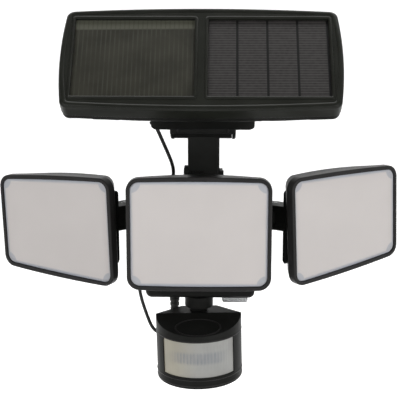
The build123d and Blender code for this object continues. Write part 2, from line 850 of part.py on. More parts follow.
def wiring_box():
    """The box under the panel that holds the wiring."""
    under = -panel_top_depth - panel_back_depth
    middle, _, drum_height = drum_in_panel()
    outline = RectangleRounded(wiring_box_width, 2 * wiring_box_depth, wiring_box_corner)
    plane = Plane(origin=(middle, wiring_box_low, under), x_dir=(1, 0, 0), z_dir=(0, 1, 0))
    box = extrude(plane * outline, wiring_box_length)
    box &= Pos(middle, 0, under - wiring_box_depth) * Box(
        2 * wiring_box_width, 2 * panel_length, 2 * wiring_box_depth
    )
    inside = box_between(
        middle - wiring_box_width / 2 + wall,
        middle + wiring_box_width / 2 - wall,
        wiring_box_low + wall,
        wiring_box_low + wiring_box_length - wall,
        drum_height + drum_radius + running_gap + shroud_thickness + wall,
        under + 1,
    )
    return box - inside - bracket_room()


def bracket_room():
    """The room for the drum and the shroud round it, in the panel's flat frame."""
    x, y, z = drum_in_panel()
    half = drum_half_length + running_gap + cheek_thickness
    return rod_x(x - half, x + half, y, z, drum_radius + running_gap + shroud_thickness)


def tilt_bracket():
    """The bracket that wraps the drum: a shroud, two cheeks and a block up to the wiring box."""
    x, y, z = drum_in_panel()
    inner = drum_radius + running_gap
    outer = inner + shroud_thickness
    inner_half = drum_half_length + running_gap
    half = inner_half + cheek_thickness
    shroud = rod_x(x - half, x + half, y, z, outer)
    low = -outer * sin(radians(shroud_below_angle))
    reach = 6 * outer
    below = Pos(x, 0, low - reach / 2) * Box(2 * half + 2, 2 * reach, reach)
    shroud -= Pos(0, y, z) * Rot(-panel_tilt_angle, 0, 0) * below
    top = -panel_top_depth - panel_back_depth - wiring_box_depth
    shroud += box_between(x - half, x + half, wiring_box_low + 0.6, y + 14, z, top)
    for side in (-1, 1):
        edge = x + side * half
        cheek = rod_x(x + side * inner_half, edge, y, z, cheek_radius)
        shroud += fillet(edges_at(cheek, Axis.X, edge), 1.8)
    shroud -= rod_x(x - inner_half, x + inner_half, y, z, inner)
    return shroud - rod_x(x - 50, x + 50, y, z, hinge_bolt_radius + pin_gap)


def tilt_bolt():
    """The bolt that the panel tilts on."""
    x, y, z = drum_in_panel()
    half = drum_half_length + running_gap + cheek_thickness
    shaft = rod_x(x - half - 3.6, x + half, y, z, hinge_bolt_radius)
    head = rod_x(x + half, x + half + bolt_head_height, y, z, bolt_head_radius)
    nut = Pos(x - half, y, z) * Rot(0, -90, 0) * extrude(RegularPolygon(4.4, 6), 3)
    return shaft + head + nut


# ---------------------------------------------------------------- sensor
def sensor_plan(inset):
    """The sensor seen from above: half round in front, narrowing behind."""
    radius = sensor_radius - inset
    back = sensor_back_y - sensor_y - inset
    half = sensor_back_half - inset * 0.5
    edges = ThreePointArc((-radius, 0), (0, -radius), (radius, 0))
    edges += Polyline((radius, 0), (half, back), (-half, back), (-radius, 0))
    return Pos(sensor_x, sensor_y) * make_face(edges)


def sensor_slab(inset, z0, z1):
    """The sensor's plan, run from z0 up to z1."""
    return extrude(Pos(0, 0, z0) * sensor_plan(inset), z1 - z0)


def cap_top_cutter(lift):
    """What is cut off above the cap: a slope to the front and a slight one to the back."""
    front = sensor_y - sensor_radius
    profile = Polyline(
        (front - 10, cap_front_top - 10 * (cap_side_top - cap_front_top) / sensor_radius + lift),
        (sensor_y, cap_side_top + lift),
        (sensor_back_y + 10, cap_back_top + lift),
        (sensor_back_y + 10, cap_side_top + 40),
        (front - 10, cap_side_top + 40),
        close=True,
    )
    plane = Plane(origin=(0, 0, 0), x_dir=(0, 1, 0), z_dir=(1, 0, 0))
    return extrude(plane * make_face(profile), 100, both=True)


def sensor_cap():
    """The sloping cap over the sensor, with the well for its neck."""
    cap = sensor_slab(0, cap_bottom, cap_side_top + 1) - cap_top_cutter(0)
    cap -= sensor_slab(cap_wall, cap_bottom - 1, cap_side_top + 1) - cap_top_cutter(-cap_wall)
    well_half = sensor_barrel_half + running_gap
    for side in (-1, 1):
        x0 = sensor_x + side * well_half
        cheek = box_between(x0, x0 + side * 4, neck_y - 9, neck_y + 9, cap_bottom + 1, cap_side_top)
        cap += cheek - cap_top_cutter(-1)
    cap -= box_between(
        sensor_x - well_half,
        sensor_x + well_half,
        neck_y - 8,
        neck_y + 8,
        cap_bottom - 1,
        cap_side_top + 2,
    )
    cap -= rod_x(
        sensor_x - 20, sensor_x + 20, neck_y, sensor_pin_z, sensor_pin_radius + pin_gap
    )
    return cap


def sensor_neck():
    """The neck that turns in the housing's floor, with a barrel for the tilt pin."""
    top = housing_bottom + 6 + running_gap
    neck = rod_z(sensor_x, neck_y, neck_bottom, housing_bottom - running_gap, neck_radius)
    neck = fillet(edges_at(neck, Axis.Z, neck_bottom), 1.2)
    neck += rod_z(sensor_x, neck_y, neck_bottom + 2, top, neck_spigot_radius)
    neck += rod_z(sensor_x, neck_y, top, top + 2.4, neck_spigot_radius + 2.4)
    radius, half = sensor_barrel_radius, sensor_barrel_half
    web = box_between(
        sensor_x - half, sensor_x + half, neck_y - radius, neck_y + radius, sensor_pin_z, neck_bottom + 2
    )
    barrel = web + rod_x(sensor_x - half, sensor_x + half, neck_y, sensor_pin_z, radius)
    barrel -= rod_x(
        sensor_x - 20, sensor_x + 20, neck_y, sensor_pin_z, sensor_pin_radius + pin_gap
    )
    return neck + place_sensor(barrel)


def sensor_pin():
    """The pin that the sensor tilts on."""
    half = sensor_barrel_half + running_gap + 4
    return rod_x(sensor_x - half, sensor_x + half, neck_y, sensor_pin_z, sensor_pin_radius)


def lens_sector(half_angle, inner, outer, z0, z1):
    """Part of an upright ring about the sensor's middle, facing the front."""
    ring = rod_z(sensor_x, sensor_y, z0, z1, outer) - rod_z(sensor_x, sensor_y, z0 - 1, z1 + 1, inner)
    reach = 2 * outer
    left = (-reach * sin(radians(half_angle)), -reach * cos(radians(half_angle)))
    right = (-left[0], left[1])
    wedge = make_face(Polyline((0, 0), left, (-reach, -2 * reach), (reach, -2 * reach), right, close=True))
    cutter = Pos(sensor_x, sensor_y, z0 - 1) * extrude(wedge, z1 - z0 + 2)
    return ring & cutter


def sensor_body():
    """The sensor's body below the cap, with the window for its lens."""
    top = cap_bottom - seat_gap
    body = sensor_slab(0, body_bottom, top)
    body = fillet(edges_at(body, Axis.Z, body_bottom), 1.6)
    body -= sensor_slab(wall, body_bottom + wall, top + 1)
    angle = sensor_lens_half_angle
    body -= lens_sector(angle, sensor_radius - wall - 1, sensor_radius + 3, lens_bottom, top + 1)
    return body


def sensor_lens():
    """The curved, ribbed lens behind the window."""
    top = cap_bottom - seat_gap - 0.2
    outer = sensor_radius - sensor_lens_recess
    flange_outer = sensor_radius - wall - seat_gap
    inner = flange_outer - sensor_lens_thickness
    angle = sensor_lens_half_angle - degrees(asin(seat_gap / sensor_radius))
    front = lens_sector(angle, inner, outer, lens_bottom + seat_gap, top)
    flange = lens_sector(angle + 3, inner, flange_outer, lens_bottom - 2.5, top)
    return front + flange


def sensor_board():
    """The sensor's circuit board, with the round detector can in front."""
    y = sensor_y - 8
    board = box_between(
        sensor_x - 24, sensor_x + 24, y, y + board_thickness, body_bottom + wall + 4, cap_bottom - 4
    )
    return board + rod_y(sensor_x, y - sensor_can_height, y, sensor_can_z, sensor_can_radius)


def sensor_screws():
    """Two screws from below that hold body and cap together."""
    screws = []
    for x, y in sensor_screw_spots():
        shaft = rod_z(x, y, body_bottom + 1, cap_bottom + 8, screw_radius)
        screws.append(shaft + rod_z(x, y, body_bottom - 0.6, body_bottom + 1, screw_head_radius))
    return screws


def sensor_screw_spots():
    """Where those two screws are."""
    y = sensor_y + sensor_screw_behind
    return [(sensor_x - sensor_screw_across, y), (sensor_x + sensor_screw_across, y)]


def with_sensor_posts(body, cap):
    """The posts in body and cap that the two screws run through."""
    for x, y in sensor_screw_spots():
        body += rod_z(x, y, body_bottom + 1, cap_bottom - seat_gap, sensor_post_radius)
        body -= rod_z(x, y, body_bottom - 1, cap_bottom + 1, screw_radius + pin_gap)
        body -= rod_z(x, y, body_bottom - 1, body_bottom + 1, screw_head_radius + seat_gap)
        post = rod_z(x, y, cap_bottom, cap_side_top, sensor_post_radius)
        cap += post - cap_top_cutter(-1)
        cap -= rod_z(x, y, cap_bottom - 1, cap_bottom + 9, screw_radius + pin_gap)
    return body, cap


def place_sensor(shape):
    """Leans the sensor on its neck, as it stands in use."""
    at = Pos(sensor_x, neck_y, sensor_pin_z)
    return at * Rot(0, -sensor_lean_angle, 0) * Pos(-sensor_x, -neck_y, -sensor_pin_z) * shape


# ---------------------------------------------------------------- gland and lead
def lead_gland():
    """The ribbed, tapered gland under the housing."""
    top = housing_bottom
    inner = gland_top_radius - 1.6
    body = Pos(gland_x, gland_y, top - gland_length / 2) * Cone(
        gland_end_radius, gland_top_radius, gland_length
    )
    for step in range(5):
        z = top - 5.5 - step * 5.0
        groove = rod_z(gland_x, gland_y, z - 1.1, z + 1.1, 12)
        share = (top - z) / gland_length
        core = gland_top_radius + (gland_end_radius - gland_top_radius) * share - 0.9
        body -= groove - rod_z(gland_x, gland_y, z - 1.2, z + 1.2, core)
    body += rod_z(gland_x, gland_y, top, top + wall, inner)
    body += rod_z(gland_x, gland_y, top + wall, top + wall + 2.4, gland_top_radius)
    return body


def lead_points():
    """The route of the lead, from the panel's grommet to the gland."""
    return [
        (-40.8, -70.3, 111.3),
        (-32.5, -62.2, 90.0),
        (-25.5, -54.5, 70.0),
        (-27.5, -41.0, 54.5),
        (-44.0, -33.0, 54.0),
        (-59.8, -30.5, 43.0),
        (-60.8, -30.0, 16.0),
        (-62.6, -30.0, -10.0),
        (-63.6, -30.0, -37.0),
        (-62.6, -30.0, -63.0),
        (-55.3, -30.3, -87.4),
        (-48.6, gland_y, -103.8),
        (-36.9, gland_y, -107.9),
        (gland_x, gland_y, -100.1),
        (gland_x, gland_y, housing_bottom - gland_length),
    ]


def lead_radii(points):
    """An arc for each corner, as large as the two runs beside it allow."""
    radii = []
    for before, corner, after in zip(points, points[1:], points[2:]):
        one, two = Vector(*corner) - Vector(*before), Vector(*after) - Vector(*corner)
        turn = radians(one.get_angle(two))
        radii.append(lead_arc_share * min(one.length, two.length) / tan(turn / 2))
    return radii


def solar_lead():
    """The lead itself, as straight runs joined by tangent arcs."""
    points = lead_points()
    radii = lead_radii(points)
    print("lead radii", [round(radius, 1) for radius in radii])
    path = FilletPolyline(*points, radius=radii)
    start = Plane(origin=path @ 0, z_dir=path % 0)
    tube = sweep(start * Circle(lead_radius), path=path)
    full = path.length * pi * lead_radius**2
    print("lead length", round(path.length, 1), "volume share", round(tube.volume / full, 4))
    return tube


def lead_grommet():
    """The slanting grommet where the lead leaves the panel's wiring box."""
    first, second = Vector(*lead_points()[0]), Vector(*lead_points()[1])
    plane = Plane(origin=first, z_dir=(first - second).normalized())
    cone = Cone(grommet_radius, grommet_radius + 1.2, grommet_length)
    return plane * Pos(0, 0, grommet_length / 2) * cone


# ---------------------------------------------------------------- the whole light
def head_nodes(prefix, taper, lean, extra, place):
    """Names and shapes of one head's pieces, placed in the light."""
    nodes = {}
    for name, shapes in head_pieces(taper).items():
        leaned = [lean_head(shape, lean) for shape in shapes]
        if name == "rear_shell":
            leaned[0] += extra
        nodes[f"{prefix}_{name}"] = [place(shape) for shape in leaned]
    return nodes


def side_nodes(prefix, pan, swivel, lean, finish):
    """One side head with its arm; finish mirrors it for the left."""
    nodes = head_nodes(
        prefix, side_taper, lean, side_clevis(), lambda shape: finish(place_side(shape, pan, swivel))
    )
    nodes[f"{prefix}_pan_screw"] = [finish(place_arm(pan_screw(), swivel))]
    nodes[f"{prefix}_arm"] = [finish(place_arm(side_arm(), swivel))]
    nodes[f"{prefix}_swivel_nut"] = [finish(place_arm(swivel_nut(), swivel))]
    return nodes


def all_nodes():
    """Every piece of the light by name."""
    nodes = head_nodes("centre", 0.0, 0.0, centre_knuckle(), place_centre)
    nodes["centre_hinge_bolt"] = [hinge_bolt()]
    nodes.update(side_nodes("right", right_pan_angle, right_swivel_angle, right_lean_angle, lambda shape: shape))
    nodes.update(
        side_nodes(
            "left",
            left_pan_angle,
            left_swivel_angle,
            left_lean_angle,
            lambda shape: mirror(shape, Plane.YZ),
        )
    )
    nodes["main_housing"] = [main_housing()]
    nodes["rear_gasket"] = [rear_gasket()]
    nodes["rear_cover"] = [rear_cover()]
    nodes["housing_screws"] = housing_screws()
    nodes["wall_plate"] = [wall_plate()]
    nodes["lock_screw"] = [lock_screw()]
    nodes["battery_cells"] = battery_cells()
    nodes["battery_tray"] = [battery_tray()]
    nodes["control_board"] = [control_board()]
    nodes["switch_body"] = [switch_body()]
    nodes["switch_lever"] = [switch_lever()]
    nodes["switch_boot"] = [switch_boot()]
    nodes["lead_gland"] = [lead_gland()]
    nodes["solar_lead"] = [solar_lead()]
    nodes["pole"] = [pole()]
    nodes["pole_lock_bolt"] = [lock_bolt()]
    nodes["panel_frame"] = [flat_panel(panel_frame())]
    nodes["panel_back"] = [flat_panel(panel_back())]
    nodes["solar_module_left"] = [flat_panel(solar_module(0))]
    nodes["solar_module_right"] = [flat_panel(solar_module(1))]
    nodes["panel_screws"] = [flat_panel(screw) for screw in panel_screws()]
    nodes["wiring_box"] = [flat_panel(wiring_box()) - lead_grommet()]
    nodes["tilt_bracket"] = [flat_panel(tilt_bracket())]
    nodes["tilt_bolt"] = [flat_panel(tilt_bolt())]
    nodes["lead_grommet"] = [lead_grommet()]
    body, cap = with_sensor_posts(sensor_body(), sensor_cap())
    nodes["sensor_neck"] = [sensor_neck()]
    nodes["sensor_pin"] = [place_sensor(sensor_pin())]
    nodes["sensor_cap"] = [place_sensor(cap)]
    nodes["sensor_body"] = [place_sensor(body)]
    nodes["sensor_lens"] = [place_sensor(sensor_lens())]
    nodes["sensor_board"] = [place_sensor(sensor_board())]
    nodes["sensor_screws"] = [place_sensor(screw) for screw in sensor_screws()]
    return nodes


def write_parts():
    """Writes one STEP file per node."""
    os.makedirs("parts", exist_ok=True)
    for name, shapes in all_nodes().items():
        solids = [solid for shape in shapes for solid in shape.solids()]
        whole = solids[0] if len(solids) == 1 else Compound(children=solids)
        export_step(whole, os.path.join("parts", f"{name}.step"))


write_parts()
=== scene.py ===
"""Dresses the solar security light: finishes, fine pieces, the lead, camera and studio."""

import logging
from dataclasses import dataclass
from enum import Enum
from math import cos, pi, radians, sin

import bmesh
import bpy
from mathutils import Matrix, Vector


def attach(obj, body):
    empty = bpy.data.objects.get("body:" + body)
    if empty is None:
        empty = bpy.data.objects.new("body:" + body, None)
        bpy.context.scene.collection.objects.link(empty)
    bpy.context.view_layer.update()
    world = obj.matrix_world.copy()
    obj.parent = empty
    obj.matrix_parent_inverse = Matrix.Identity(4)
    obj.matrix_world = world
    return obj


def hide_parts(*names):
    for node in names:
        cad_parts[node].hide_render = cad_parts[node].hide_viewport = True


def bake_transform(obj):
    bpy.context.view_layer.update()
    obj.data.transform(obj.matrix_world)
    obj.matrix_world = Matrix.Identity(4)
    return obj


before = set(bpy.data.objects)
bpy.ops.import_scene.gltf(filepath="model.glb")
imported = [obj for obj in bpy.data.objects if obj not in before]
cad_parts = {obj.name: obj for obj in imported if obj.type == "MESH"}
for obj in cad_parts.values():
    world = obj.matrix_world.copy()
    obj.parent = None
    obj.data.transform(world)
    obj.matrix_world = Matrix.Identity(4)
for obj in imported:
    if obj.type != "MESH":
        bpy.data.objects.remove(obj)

LOG = logging.getLogger("solar_light")
MM = 0.001
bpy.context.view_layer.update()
MIRROR = Matrix.Scale(-1, 4, (1, 0, 0))
HEAD_HALF_WIDTH = 62.1
HEAD_HALF_HEIGHT = 47.85
SIDE_HEAD_TAPER = 6.45

Point = tuple[float, float, float]
Colour = tuple[float, float, float]
Socket = bpy.types.NodeSocket
Material = bpy.types.Material


# ---- node helpers
class NodeSheet:
    """A small drawing board for one material's nodes."""

    def __init__(self, name: str) -> None:
        """Starts a material with an empty Principled shader.

        Args:
            name: the material's name.
        """
        self.material = bpy.data.materials.new(name)
        self.material.use_nodes = True
        self.tree = self.material.node_tree
        self.shader = self.tree.nodes["Principled BSDF"]

    def add(self, kind: str, **values: object) -> bpy.types.Node:
        """Adds a node and sets its properties or input values.

        Args:
            kind: the node's type name without its ShaderNode prefix.
            values: property names, or input names with spaces as underscores.

        Returns:
            The new node.
        """
        node = self.tree.nodes.new("ShaderNode" + kind)
        for key, value in values.items():
            if hasattr(node, key):
                setattr(node, key, value)
            else:
                node.inputs[key.replace("_", " ")].default_value = value
        return node

    def link(self, source: Socket, target: Socket) -> None:
        """Joins two sockets.

        Args:
            source: the socket that gives the value.
            target: the socket that takes it.
        """
        self.tree.links.new(source, target)

    def place(self, frame_matrix: Matrix | None = None) -> Socket:
        """Gives the surface's place in a part's own frame.

        Args:
            frame_matrix: the part's frame; the light's own frame if left out.

        Returns:
            A vector socket in metres.
        """
        point = self.add("TexCoord").outputs["Object"]
        if frame_matrix is None:
            return point
        if frame_matrix.determinant() < 0:
            flip = self.add("VectorMath", operation="MULTIPLY")
            flip.inputs[1].default_value = (-1.0, 1.0, 1.0)
            self.link(point, flip.inputs[0])
            point = flip.outputs[0]
            frame_matrix = MIRROR @ frame_matrix
        inverse = frame_matrix.inverted()
        moved = {"Location": inverse.to_translation(), "Rotation": inverse.to_euler()}
        mapping = self.add("Mapping", **moved)
        self.link(point, mapping.inputs["Vector"])
        return mapping.outputs["Vector"]

    def math(self, operation: str, *terms: object) -> Socket:
        """Adds a maths node.

        Args:
            operation: the maths operation's name.
            terms: sockets or numbers.

        Returns:
            The result's socket.
        """
        node = self.add("Math", operation=operation)
        for index, term in enumerate(terms):
            if isinstance(term, Socket):
                self.link(term, node.inputs[index])
            else:
                node.inputs[index].default_value = float(term)
        return node.outputs[0]

    def ramp(self, value: Socket, low: float, high: float) -> Socket:
        """Turns a value into 0 to 1, smoothly between low and high.

        Args:
            value: the socket to read.
            low: the value that gives 0.
            high: the value that gives 1.

        Returns:
            The result's socket.
        """
        limits = {"From_Min": low, "From_Max": high}
        node = self.add("MapRange", interpolation_type="SMOOTHSTEP", **limits)
        self.link(value, node.inputs["Value"])
        return node.outputs["Result"]

    def blend(self, share: Socket, first: Colour | Socket, second: Colour | Socket) -> Socket:
        """Mixes two colours.

        Args:
            share: 0 gives the first colour, 1 the second.
            first: a colour or a colour socket.
            second: a colour or a colour socket.

        Returns:
            The mixed colour's socket.
        """
        node = self.add("Mix", data_type="RGBA")
        self.link(share, node.inputs["Factor"])
        for socket, colour in ((node.inputs[6], first), (node.inputs[7], second)):
            if isinstance(colour, Socket):
                self.link(colour, socket)
            else:
                socket.default_value = (*colour, 1.0)
        return node.outputs[2]

    def noise(self, place: Socket, scale: float, detail: float) -> Socket:
        """Adds noise over a place.

        Args:
            place: the vector socket.
            scale: waves per metre.
            detail: octaves.

        Returns:
            The noise value's socket.
        """
        node = self.add("TexNoise", Scale=scale, Detail=detail)
        self.link(place, node.inputs["Vector"])
        return node.outputs["Fac"]

    def bump(self, height: Socket, depth: float, strength: float = 1.0, edge: float = 0.0) -> None:
        """Raises the surface by a height.

        Args:
            height: the height's socket, 0 to 1.
            depth: what a height of 1 is, in metres.
            strength: how strongly it shows.
            edge: the radius, in metres, that sharp edges are softened to.
        """
        node = self.add("Bump", Strength=strength, Distance=depth)
        if edge:
            soft = self.add("Bevel", Radius=edge)
            self.link(soft.outputs["Normal"], node.inputs["Normal"])
        self.link(height, node.inputs["Height"])
        self.link(node.outputs["Normal"], self.shader.inputs["Normal"])

    def paint(self, colour: Socket) -> None:
        """Gives the surface a colour."""
        self.link(colour, self.shader.inputs["Base Color"])

    def axes(self, place: Socket) -> bpy.types.NodeOutputs:
        """Splits a place.

        Args:
            place: the vector socket.

        Returns:
            Its sockets X, Y and Z, by name.
        """
        split = self.add("SeparateXYZ")
        self.link(place, split.inputs[0])
        return split.outputs

    def set(self, **values: object) -> None:
        """Sets shader values.

        Args:
            values: the values, by input name with underscores for spaces.
        """
        for key, value in values.items():
            self.shader.inputs[key.replace("_", " ")].default_value = value


# ---- finishes
@dataclass(frozen=True)
class MouldedPlastic:
    """Dyed moulded plastic with a fine spark-eroded grain and handling marks."""

    name: str
    colour: Colour
    roughness: float = 0.38
    specular: float = 0.5
    grain_depth: float = 0.000008
    grain_scale: float = 2600.0
    edge: float = 0.5 * MM

    def build(self) -> Material:
        """Builds the material.

        Returns:
            The material.
        """
        sheet = NodeSheet(self.name)
        place = sheet.place()
        grain = sheet.noise(place, self.grain_scale, 3.0)
        cloud = sheet.noise(place, 38.0, 4.0)
        lighter = tuple(min(1.0, part * 1.2 + 0.001) for part in self.colour)
        colour = sheet.blend(sheet.ramp(cloud, 0.35, 0.7), self.colour, lighter)
        sheet.paint(colour)
        smear = sheet.noise(place, 90.0, 5.0)
        spread = sheet.math("MULTIPLY_ADD", smear, 0.08, self.roughness - 0.04)
        sheet.link(spread, sheet.shader.inputs["Roughness"])
        sheet.set(Specular_IOR_Level=self.specular)
        sheet.bump(grain, self.grain_depth, 0.6, self.edge)
        return sheet.material


@dataclass(frozen=True)
class ScrewSteel:
    """Plated or blackened steel with turning marks."""

    name: str
    colour: Colour
    roughness: float = 0.32

    def build(self) -> Material:
        """Builds the material.

        Returns:
            The material.
        """
        sheet = NodeSheet(self.name)
        place = sheet.place()
        marks = sheet.noise(place, 900.0, 6.0)
        darker = tuple(part * 0.7 for part in self.colour)
        sheet.paint(sheet.blend(marks, darker, self.colour))
        rough = sheet.math("MULTIPLY_ADD", marks, 0.2, self.roughness - 0.1)
        sheet.link(rough, sheet.shader.inputs["Roughness"])
        sheet.set(Metallic=1.0)
        sheet.bump(marks, 0.00002, 0.5)
        return sheet.material


@dataclass(frozen=True)
class SoftRubber:
    """Matt rubber with a faint bloom."""

    name: str
    colour: Colour
    roughness: float = 0.62

    def build(self) -> Material:
        """Builds the material.

        Returns:
            The material.
        """
        sheet = NodeSheet(self.name)
        place = sheet.place()
        bloom = sheet.noise(place, 160.0, 5.0)
        lighter = tuple(part * 1.6 + 0.006 for part in self.colour)
        colour = sheet.blend(sheet.ramp(bloom, 0.4, 0.75), self.colour, lighter)
        sheet.paint(colour)
        sheet.set(Roughness=self.roughness, Specular_IOR_Level=0.35)
        sheet.bump(sheet.noise(place, 3200.0, 2.0), 0.00002, 0.5)
        return sheet.material


@dataclass(frozen=True)
class ClearSilicone:
    """Soft clear silicone, a little cloudy."""

    name: str
    colour: Colour
    transmission: float = 0.75

    def build(self) -> Material:
        """Builds the material.

        Returns:
            The material.
        """
        sheet = NodeSheet(self.name)
        cloud = sheet.noise(sheet.place(), 240.0, 3.0)
        milky = tuple(min(1.0, part * 1.1) for part in self.colour)
        sheet.paint(sheet.blend(cloud, self.colour, milky))
        sheet.set(Roughness=0.22, IOR=1.41, Transmission_Weight=self.transmission)
        sheet.bump(cloud, 0.00005, 0.3)
        return sheet.material


@dataclass(frozen=True)
class MilkyDiffuser:
    """The frosted front of a lamp head, with painted shade along its edge and painted shadows of the
    posts behind it in its corners.
    """

    name: str
    head_frame: Matrix
    half_width: float
    half_height: float
    taper: float
    colour: Colour = (0.60, 0.565, 0.550)
    # the bluish grey of the painted edge shade and the painted post shadows
    edge_shade_colour: Colour = (0.30, 0.335, 0.40)

    def build(self) -> Material:
        """Builds the material.

        Returns:
            The material.
        """
        sheet = NodeSheet(self.name)
        place = sheet.place(self.head_frame)
        axes = sheet.axes(place)
        share = sheet.math("MULTIPLY_ADD", axes["X"], 0.5 / self.half_width, 0.5)
        limit = sheet.math("MULTIPLY_ADD", share, -self.taper, self.half_height)
        to_side = sheet.math("SUBTRACT", self.half_width, sheet.math("ABSOLUTE", axes["X"]))
        to_top = sheet.math("SUBTRACT", limit, sheet.math("ABSOLUTE", axes["Z"]))
        near = sheet.math("MINIMUM", to_side, to_top)
        # painted shade: darker bluish grey along the edges next to the rim, and painted shadows of
        # the posts behind the diffuser in its corners
        edge = sheet.ramp(near, 3.4 * MM, 0.2 * MM)
        squares = [sheet.math("POWER", gap, 2.0) for gap in (to_side, to_top)]
        distance = sheet.math("SQRT", sheet.math("ADD", *squares))
        corner = sheet.math("MULTIPLY", sheet.ramp(distance, 10.6 * MM, 9.4 * MM), 0.55)
        shade = sheet.math("MAXIMUM", sheet.math("MULTIPLY", edge, 0.75), corner)
        cloud = sheet.noise(place, 14.0, 2.0)
        warmer = tuple(part * 0.955 for part in self.colour)
        body = sheet.blend(sheet.ramp(cloud, 0.3, 0.7), self.colour, warmer)
        sheet.paint(sheet.blend(shade, body, self.edge_shade_colour))
        sheet.set(Roughness=0.36, Specular_IOR_Level=0.35, Subsurface_Weight=0.0)
        sheet.bump(sheet.noise(place, 3800.0, 2.0), 0.00001, 0.4)
        return sheet.material


@dataclass(frozen=True)
class ThinFilmModule:
    """A dark olive thin-film solar module: fine upright scribe lines under clear resin."""

    name: str
    panel_frame: Matrix
    pitch: float = 4.2 * MM
    band_from: float = 34.2 * MM
    band_slant: float = -0.012
    film: Colour = (0.0195, 0.019, 0.014)
    line: Colour = (0.046, 0.047, 0.036)
    band: Colour = (0.086, 0.088, 0.067)

    def build(self) -> Material:
        """Builds the material.

        Returns:
            The material.
        """
        sheet = NodeSheet(self.name)
        place = sheet.place(self.panel_frame)
        axes = sheet.axes(place)
        phase = sheet.math("PINGPONG", axes["X"], self.pitch / 2)
        line = sheet.ramp(phase, 0.42 * self.pitch / 2, 0.1 * self.pitch / 2)
        cloud = sheet.noise(place, 30.0, 4.0)
        film = sheet.blend(
            sheet.ramp(cloud, 0.3, 0.7), self.film, tuple(part * 1.5 for part in self.film)
        )
        fade = sheet.ramp(sheet.noise(place, 55.0, 2.0), 0.35, 0.65)
        shown = sheet.math("MULTIPLY_ADD", fade, 0.45, 0.2)
        lined = sheet.blend(sheet.math("MULTIPLY", line, shown), film, self.line)
        slant = sheet.math("MULTIPLY_ADD", axes["X"], self.band_slant, axes["Y"])
        top = sheet.ramp(slant, self.band_from - 1.2 * MM, self.band_from + 1.2 * MM)
        band = sheet.blend(sheet.math("MULTIPLY", line, 0.3), self.band, self.film)
        colour = sheet.blend(sheet.math("MULTIPLY", top, 0.8), lined, band)
        sheet.paint(colour)
        sheet.set(Roughness=0.42, Coat_Weight=0.2, Coat_Roughness=0.1, Specular_IOR_Level=0.15)
        sheet.bump(sheet.noise(place, 400.0, 3.0), 0.00002, 0.4)
        return sheet.material


@dataclass(frozen=True)
class CellSilicon:
    """Dark crystalline cells with fine collector lines across, under clear resin."""

    name: str
    panel_frame: Matrix
    window_middle: float = 61.55 * MM
    window_width: float = 110.5 * MM
    pitch: float = 2.75 * MM
    gap: float = 2.1 * MM
    silicon: Colour = (0.0215, 0.0202, 0.0198)
    line: Colour = (0.078, 0.074, 0.072)
    seam: Colour = (0.006, 0.006, 0.006)

    def build(self) -> Material:
        """Builds the material.

        Returns:
            The material.
        """
        sheet = NodeSheet(self.name)
        place = sheet.place(self.panel_frame)
        axes = sheet.axes(place)
        phase = sheet.math("PINGPONG", axes["Y"], self.pitch / 2)
        line = sheet.ramp(phase, 0.30 * self.pitch / 2, 0.08 * self.pitch / 2)
        grains = sheet.add("TexVoronoi", Scale=260.0)
        sheet.link(place, grains.inputs["Vector"])
        tint = sheet.blend(
            sheet.ramp(grains.outputs["Distance"], 0.0, 0.9),
            self.silicon,
            tuple(part * 1.45 for part in self.silicon),
        )
        lined = sheet.blend(sheet.math("MULTIPLY", line, 0.7), tint, self.line)
        start = self.window_middle - 0.51 * self.window_width
        across = sheet.math("SUBTRACT", axes["X"], start)
        strip = sheet.math("MODULO", across, self.window_width / 4)
        seam = sheet.ramp(
            sheet.math("MINIMUM", strip, sheet.math("SUBTRACT", self.window_width / 4, strip)),
            0.5 * self.gap + 0.2 * MM,
            0.5 * self.gap - 0.1 * MM,
        )
        colour = sheet.blend(seam, lined, self.seam)
        sheet.paint(colour)
        sheet.set(Roughness=0.4, Coat_Weight=0.2, Coat_Roughness=0.1, Specular_IOR_Level=0.15)
        sheet.bump(sheet.noise(place, 400.0, 3.0), 0.00002, 0.4)
        return sheet.material


@dataclass(frozen=True)
class CircuitLacquer:
    """Lacquered circuit board with faint tracks."""

    name: str
    colour: Colour
    track: Colour

    def build(self) -> Material:
        """Builds the material.

        Returns:
            The material.
        """
        sheet = NodeSheet(self.name)
        place = sheet.place()
        bricks = sheet.add("TexBrick", Scale=120.0, Mortar_Size=0.03)
        sheet.link(place, bricks.inputs["Vector"])
        sheet.paint(sheet.blend(bricks.outputs["Fac"], self.colour, self.track))
        sheet.set(Roughness=0.35)
        sheet.bump(bricks.outputs["Fac"], 0.00003, 0.5)
        return sheet.material


